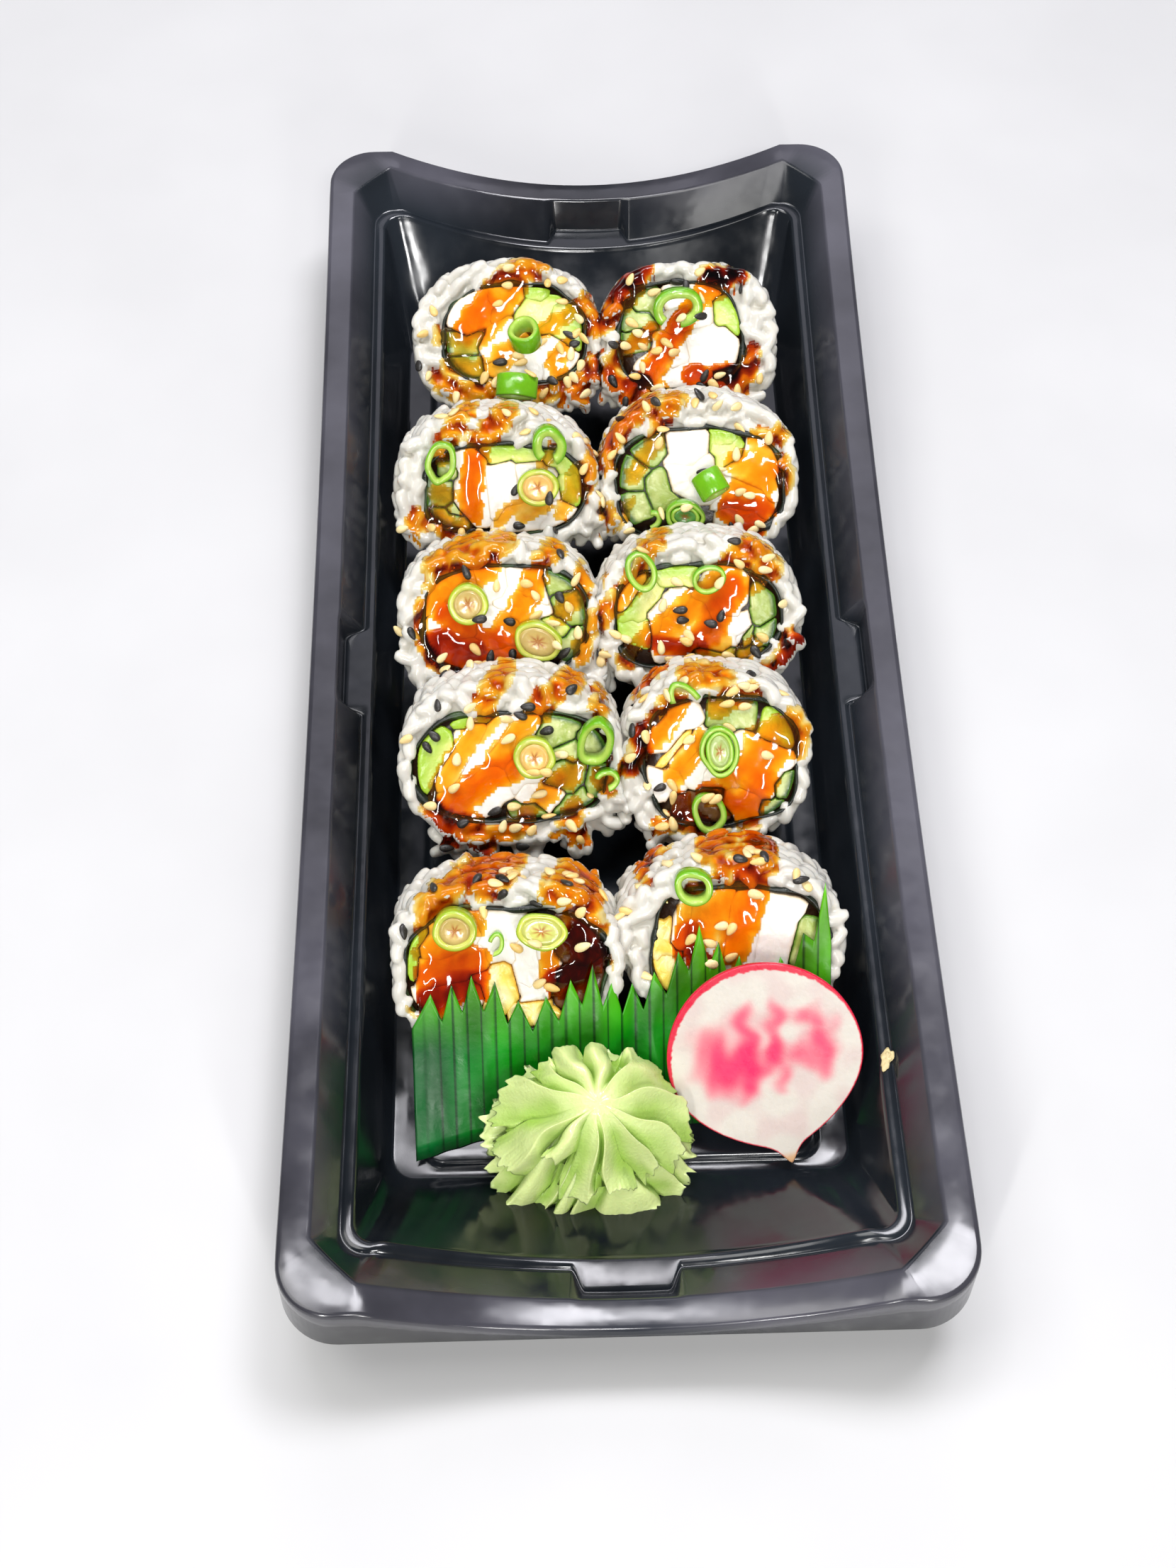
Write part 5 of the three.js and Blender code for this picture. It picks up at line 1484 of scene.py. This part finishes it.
UPPER_PETALS = [
    petal(84, 14, 0.88, 1.3, 0.2), petal(44, 21, 0.98, 1.7, -0.6, 1), petal(8, 17, 0.98, 1.8, -1.2, 1),
    petal(-22, 13, 0.92, 1.3, -0.8, 1), petal(-48, 14, 0.78, 1.8, -1.4, 1),
    petal(-76, 12, 0.80, 1.5, -1.0, -1), petal(-104, 14, 0.82, 2.0, -2.0, 1),
    petal(-132, 11, 0.66, 1.1, 0.2), petal(-161, 19, 0.92, 2.3, -1.6, 1),
    petal(160, 19, 0.94, 1.7, -0.8, -1), petal(134, 9, 0.84, 1.0, -0.4, -1), petal(111, 14, 0.90, 1.5, 0.3),
]
LOWER_PETALS = [
    petal(96, 15, 0.92, 1.0, 0.0), petal(66, 13, 1.0, 1.0, 0.0), petal(34, 14, 1.0, 1.2, -0.6, 1),
    petal(6, 12, 1.02, 1.2, -0.6, -1), petal(-17, 10, 1.06, 1.4, -0.8), petal(-38, 11, 1.08, 1.5, -1.2, 1),
    petal(-62, 12, 1.04, 1.6, -1.0), petal(-84, 10, 1.06, 1.7, -1.0, -1), petal(-104, 10, 1.03, 1.6, -0.8),
    petal(-124, 9, 1.00, 1.4, -1.0, 1), petal(-145, 11, 1.08, 1.7, -1.4),
    petal(-168, 12, 1.05, 1.5, -1.0, -1), petal(166, 12, 1.03, 1.3, -0.6, 1), petal(140, 14, 1.0, 1.1, 0.0),
    petal(117, 9, 0.94, 1.0, 0.0),
]


def wasabi_point(angle, share, lift):
    """A point on the slanted oval of the rosette. lift raises it."""
    cx, cy, cz = WASABI["centre"]
    x = cx + np.cos(angle) * WASABI["radii"][0] * share
    y = cy + np.sin(angle) * WASABI["radii"][1] * share
    slope = math.tan(math.radians(WASABI["slant"]))
    z = cz + np.sin(angle) * WASABI["radii"][1] * slope * share + lift
    dome = np.maximum(0, 1 - share ** 1.5)
    ax, ay, az = WASABI["apex"]
    return np.stack([x + (ax - cx) * dome, y + (ay - cy) * dome, z + (az - cz) * dome], axis=-1)


def petal_shape(petals, angle):
    """For each angle: how far across its petal it lies (0 middle, 1 groove), how far up that petal's
    own slope from 0 to 1, and the petal's numbers."""
    best = np.full(angle.shape, 9.0)
    raised = np.zeros(angle.shape)
    values = np.zeros(angle.shape + (3,))
    for item in petals:
        turn = (angle - item["angle"] + math.pi) % (2 * math.pi) - math.pi
        across = np.abs(turn) / item["half"]
        nearer = across < best
        best = np.where(nearer, across, best)
        if item["side"]:
            climb = np.clip((turn / item["half"] * item["side"] + 1) / 2, 0, 1)
            shape = (0.18 + 0.82 * climb ** 1.6) * (1 - smoothstep(PETAL_BROW, 1.0, climb))
        else:
            shape = 1 - np.minimum(across, 1) ** 2.6
        raised = np.where(nearer, shape, raised)
        values[nearer] = (item["length"], item["rise"], item["curl"])
    return np.minimum(best, 1.15), raised, values


def wasabi_tier(mesh, petals, drop, seed, teeth):
    """One ring of folded petals, running out from the apex to tips as ragged as teeth says."""
    angle = circle(WASABI_AROUND)
    rim = on_circle(angle)
    ragged = teeth * (0.028 * ripple(rim * 9, 1.4, seed + 1) + 0.013 * ripple(rim * 20, 1.4, seed + 2))
    rows, shades = [], []
    for share in TIER_SHARES:
        bent = angle + 0.16 * share * ripple(rim * 1.2, 1.7, seed) + 0.07 * np.sin(share * 7 + angle * 3)
        across, ridge, values = petal_shape(petals, bent)
        length, rise, curl = values[:, 0], values[:, 1], values[:, 2]
        out = share * length * (1 - 0.26 * smoothstep(0.7, 1.15, across) * smoothstep(0.45, 1.0, share))
        out = out * (1 + ragged * smoothstep(0.7, 1.0, share))
        swell = smoothstep(0.12, 0.62, share) * (1 - 0.2 * smoothstep(0.8, 1.0, share))
        lift = rise * swell * (3.6 * ridge - 2.1) + curl * smoothstep(0.6, 1.0, share) ** 1.5
        wave = 0.40 * ripple(np.column_stack([rim * 4, np.full(len(rim), share * 3)]), 1.5, seed + 4) * share
        wave += 0.10 * ripple(np.column_stack([rim * 7, np.full(len(rim), share * 9)]), 1.6, seed + 6) * share
        rows.append(wasabi_point(angle, out, lift + wave - drop))
        # painted shade: grooves between the raised petal edges get a darker green
        raised = mix_numbers(0.9, np.clip(ridge, 0, 1), smoothstep(0.1, 0.45, share))
        shades.append(0.74 + 0.28 * raised + 0.03 * ripple(rows[-1], 5.0, seed + 3))
    _, _, values = petal_shape(petals, angle)
    under = [wasabi_point(angle, values[:, 0] * share, values[:, 2] - drop - TIER_THICK - 2 * (0.9 - share))
             for share in UNDER_SHARES]
    for row in rows:
        row[:, 2] = np.maximum(row[:, 2], PANEL_TOP + WASABI_LIP)
    for row in under:
        row[:, 2] = np.maximum(row[:, 2], PANEL_TOP + WASABI_LIP / 4)
    points = capped_points(rows + under)
    # painted shade: the underside rows take the darkest green
    shade = np.concatenate(shades + [np.full(WASABI_AROUND, 0.7)] * len(under) + [[1.0], [0.7]])
    green = mix(np.array(WASABI_TINT) * WASABI_SHADED, WASABI_TINT, smoothstep(0.74, 0.96, shade))
    mesh.add(points, capped_faces(len(rows) + len(under), WASABI_AROUND), green)


def make_wasabi():
    mesh = Mesh()
    wasabi_tier(mesh, UPPER_PETALS, 0.0, 21, 1.0)
    wasabi_tier(mesh, LOWER_PETALS, LOWER_DROP, 31, 1.5)
    half_x, half_y = WASABI["foot_radii"]
    rows = [oval(circle(FOOT_STEPS), half_x * scale, half_y * scale, PANEL_TOP + rise, WASABI["foot"])
            for scale, rise in ((1.0, 0), (1.15, 3), (1.5, 6), (1.5, 8))]
    # painted shade: the foot under the rosette is a darker green
    mesh.add(capped_points(rows), capped_faces(len(rows), FOOT_STEPS), np.array(WASABI_TINT) * 0.7)
    material = tinted_material("wasabi_paste", 0.34, 5.0, 0.05, 0.55, 0.55, subsurface=0.3, radius_mm=1.3,
                               coat=0.45)
    make_piece("wasabi_rosette", mesh, material, ["wasabi"])


# ---------------------------------------------------------------- radish
RADISH_STEPS = 240
RIND, RIM_RED, ROOT_TINT = (0.60, 0.008, 0.03), (0.70, 0.012, 0.05), (0.72, 0.42, 0.20)
FLESH, WARM_FLESH, PINK = (0.72, 0.67, 0.59), (0.70, 0.58, 0.53), (0.82, 0.022, 0.13)
POINTED = 0.42                     # how much straighter its sides run down to the root
CUT_SHARES = np.concatenate([np.linspace(0.02, 0.9, 44), np.linspace(0.905, 0.99, 20)])
BACK_SHARES = (0.998, 0.985, 0.95, 0.9, 0.82, 0.7, 0.55, 0.38, 0.2, 0.06)
RIM_BEVEL = 0.25


def radish_outline(share, z):
    """A ring of its cut face at height z, share of the way out, drawn down to the root."""
    angle = circle(RADISH_STEPS) + math.pi / 2
    down = np.maximum(0, -np.sin(angle))
    power = 2 / (2 - POINTED * down)
    x = np.sign(np.cos(angle)) * np.abs(np.cos(angle)) ** power * RADISH["half_width"]
    height = np.where(down > 0, RADISH["bottom"], RADISH["top"])
    y = np.sign(np.sin(angle)) * np.abs(np.sin(angle)) ** power * height
    away = np.abs(angle - 1.5 * math.pi)
    root = share ** 4 * (RADISH["root"] - RADISH["bottom"]) * np.exp(-(away / RADISH["root_half"]) ** 2)
    return np.column_stack([x * share, y * share - root, np.broadcast_to(z, angle.shape)])


PINK_BLOTCHES = [               # middle, half width and half height, strength
    ((-9.5, 1.5), (4.0, 5.5), 1.0), ((-7.0, -3.0), (4.0, 4.0), 1.1), ((-3.5, 5.5), (2.0, 4.5), 1.2),
    ((-3.0, -1.5), (3.0, 3.5), 1.0), ((1.5, 6.0), (1.6, 5.0), 1.1), ((0.5, 0.5), (3.5, 2.5), 0.8),
    ((7.0, 8.5), (3.6, 2.0), 1.0), ((11.0, 3.5), (2.6, 4.0), 1.1), ((6.5, 1.0), (3.2, 2.6), 0.8),
    ((11.0, -2.5), (1.8, 3.0), 0.7), ((3.5, -4.0), (1.8, 3.5), 0.7), ((-2.5, -6.5), (2.2, 2.4), 0.8),
]


def radish_flesh(points):
    """Cream flesh with soft pink blotches round its middle. points are level with the picture."""
    flat = points[:, :2]
    places = flat + 0.7 * np.column_stack([ripple(flat, 8, 51), ripple(flat, 8, 52)])
    pink = np.zeros(len(points))
    for (cx, cy), (rx, ry), strength in PINK_BLOTCHES:
        away = ((places[:, 0] - cx) / rx) ** 2 + ((places[:, 1] - cy) / ry) ** 2
        pink += strength * np.exp(-away * 0.85)
    streaks = ripple(flat / (1, 2.5), 4.5, 53)
    pink = 1 - np.exp(-1.4 * np.maximum(0, pink - 0.16) * (1 + 0.22 * streaks))
    flesh = mix(FLESH, WARM_FLESH, smoothstep(-0.5, 1.2, ripple(flat, 11, 54)))
    return mix(flesh, PINK, smoothstep(0.0, 1.0, pink))


def radish_rows(spin):
    """Rings of points and their colours: over the cut face, round its rim and over its back."""
    angle = circle(RADISH_STEPS) + math.pi / 2
    skin = 0.35 + 0.85 * smoothstep(-0.2, 1.0, np.sin(angle + spin - 0.5))
    skin = skin * (1 + 0.12 * ripple(on_circle(angle) * 22, 1.6, 61))
    rows, tints = [], []
    for share in CUT_SHARES:
        points = radish_outline(share, 0.06 * (1 - share))
        level = np.column_stack(turned(points[:, 0], points[:, 1], spin))
        inward = (1 - share) * RADISH["half_width"]
        rows.append(points)
        tints.append(mix(radish_flesh(level), RIM_RED, smoothstep(skin + 0.15, skin - 0.15, inward)))
    rows.append(radish_outline(1.0, -RIM_BEVEL))
    tints.append(np.broadcast_to(RIM_RED, rows[-1].shape))
    for share in BACK_SHARES:
        points = radish_outline(share, -RADISH["depth"] * math.sqrt(1 - share * share) - RIM_BEVEL)
        rows.append(points)
        tints.append(np.broadcast_to(RIND, points.shape) * (1 + 0.15 * ripple(points, 8, 62))[:, None])
    return rows, tints


def make_radish():
    spin, lean = math.radians(RADISH["spin"]), math.radians(RADISH["lean"])
    rows, tints = radish_rows(spin)
    points = capped_points(rows)
    colours = np.concatenate(tints + [tints[0][:1], tints[-1][:1]])
    root = smoothstep(RADISH["bottom"] + 0.4, RADISH["bottom"] + 2.2, -points[:, 1])
    colours = mix(colours, ROOT_TINT, root * 0.9)
    x, y = turned(points[:, 0], points[:, 1], spin)
    y, z = turned(y, points[:, 2], lean)
    mesh = Mesh()
    mesh.add(np.column_stack([x, y, z]) + RADISH["centre"], capped_faces(len(rows), RADISH_STEPS), colours)
    material = tinted_material("radish_skin", 0.30, 4.0, 0.05, 1.2, 0.08, subsurface=0.2, radius_mm=1.2,
                               coat=0.2)
    make_piece("radish_cheek", mesh, material, ["radish"])


# ---------------------------------------------------------------- crumb
CRUMB = dict(place=(48.8, -91.6, 19.9), half=(1.0, 2.1, 0.6), turn=-0.35, tint=(0.86, 0.70, 0.36))
CRUMB_STEPS, CRUMB_ROWS, CRUMB_STEEP = 40, 15, 1.35


def make_crumb():
    """A crumb of fried batter on the tray's inner ledge."""
    angle = circle(CRUMB_STEPS)
    half = CRUMB["half"]
    rows = []
    for slope in np.linspace(-CRUMB_STEEP, CRUMB_STEEP, CRUMB_ROWS):
        place = np.column_stack([on_circle(angle) * 2, np.full(CRUMB_STEPS, slope * 2)])
        swell = 1 + 0.28 * ripple(place, 2.2, 71)
        x, y = (axis * math.cos(slope) * swell for axis in on_circle(angle).T)
        z = math.sin(slope) * half[2] + 0.12 * swell
        rows.append(np.column_stack([*turned(x * half[0], y * half[1], CRUMB["turn"]), z]) + CRUMB["place"])
    mesh = Mesh()
    mesh.add(capped_points(rows), capped_faces(len(rows), CRUMB_STEPS), CRUMB["tint"])
    make_piece("crumb", mesh, tinted_material("crumb", 0.5, 1.5, 0.3, 0.6, 0.6, subsurface=0.1))


# ---------------------------------------------------------------- stage, light and camera
FLOOR_SIZE, FLOOR_GAP = 4.0, 0.0002            # metres
FLOOR_CLOUDS, FLOOR_SHADES, FLOOR_ROUGH = 60, (0.60, 0.64), 0.7
ROOM_COLOUR, ROOM_STRENGTH = (0.86, 0.90, 1.0, 1), 0.13
WARM, COOL = (1.0, 0.99, 0.97), (0.96, 0.95, 1.0)


def make_floor():
    bpy.ops.mesh.primitive_plane_add(size=FLOOR_SIZE, location=(0, 0, -FLOOR_GAP))
    floor = bpy.context.object
    floor.name = "floor"
    material, tree, shader = new_material("floor_paper")
    shade = between(tree, object_noise(tree, FLOOR_CLOUDS), *FLOOR_SHADES)
    tree.links.new(grey_colour(tree, shade), shader.inputs["Base Color"])
    shader.inputs["Roughness"].default_value = FLOOR_ROUGH
    floor.data.materials.append(material)


# name, place and target in metres, width, height, watts, colour
LIGHTS = [
    ("far_softbox", (0.05, 0.95, 1.05), (0, 0.02, 0), 1.0, 0.5, 1.8, (0.90, 0.88, 1.0)),
    ("overhead", (-0.45, -0.05, 1.0), (0, 0, 0), 0.5, 0.5, 3.5, WARM),
    ("behind_camera", (0.12, -0.78, 0.92), (0, 0, 0), 0.20, 0.12, 4.0, (1.0, 0.99, 0.98)),
    ("near_strip_left", (-0.32, -0.85, 0.62), (0, 0, 0.02), 0.04, 0.35, 2.9, WARM),
    ("near_strip_right", (0.25, -0.95, 0.50), (0, 0, 0.02), 0.04, 0.3, 2.5, WARM),
    ("corner_left", (-0.14, 0.235, 1.15), (-0.14, -0.1, 0.03), 0.39, 0.20, 3.4, COOL),
    ("corner_right", (0.28, 0.25, 1.16), (0.05, -0.137, 0.03), 0.36, 0.30, 7.0, COOL),
    ("panel_strip", (0.02, 0.40, 1.15), (0.0, -0.1, 0.0), 0.3, 0.08, 0.5, COOL),
]


def make_lights():
    for name, place, target, width, height, watts, colour in LIGHTS:
        data = bpy.data.lights.new(name, "AREA")
        data.shape = "RECTANGLE"
        data.size = width
        data.size_y = height
        data.energy = watts
        data.color = colour
        lamp = bpy.data.objects.new(name, data)
        lamp.location = place
        lamp.rotation_euler = (Vector(target) - Vector(place)).to_track_quat("-Z", "Y").to_euler()
        bpy.context.scene.collection.objects.link(lamp)
    world = bpy.data.worlds.new("room")
    world.use_nodes = True
    background = world.node_tree.nodes["Background"]
    background.inputs["Color"].default_value = ROOM_COLOUR
    background.inputs["Strength"].default_value = ROOM_STRENGTH
    bpy.context.scene.world = world


def make_camera():
    data = bpy.data.cameras.new("camera")
    data.lens = FOCAL_LENGTH
    data.sensor_width = SENSOR
    data.clip_end = SIGHT
    camera = bpy.data.objects.new("camera", data)
    bpy.context.scene.collection.objects.link(camera)
    tilt, sway, spin = (Matrix.Rotation(turn, 4, axis) for turn, axis in zip(CAMERA_TURNS, "XYZ"))
    place = Matrix.Translation([value * MM for value in CAMERA_PLACE])
    camera.matrix_world = place @ tilt @ sway @ spin
    bpy.context.scene.camera = camera


# ---------------------------------------------------------------- the tray is laid out
make_tray()
roll_meshes = make_rolls()
glaze_mesh = make_glaze(surface_tree(roll_meshes))
onion_meshes = make_onions()
make_sesame(surface_tree(roll_meshes + [glaze_mesh] + onion_meshes))
make_grass()
make_wasabi()
make_radish()
make_crumb()
make_floor()
make_lights()
make_camera()
bpy.context.scene.view_settings.view_transform = "Standard"
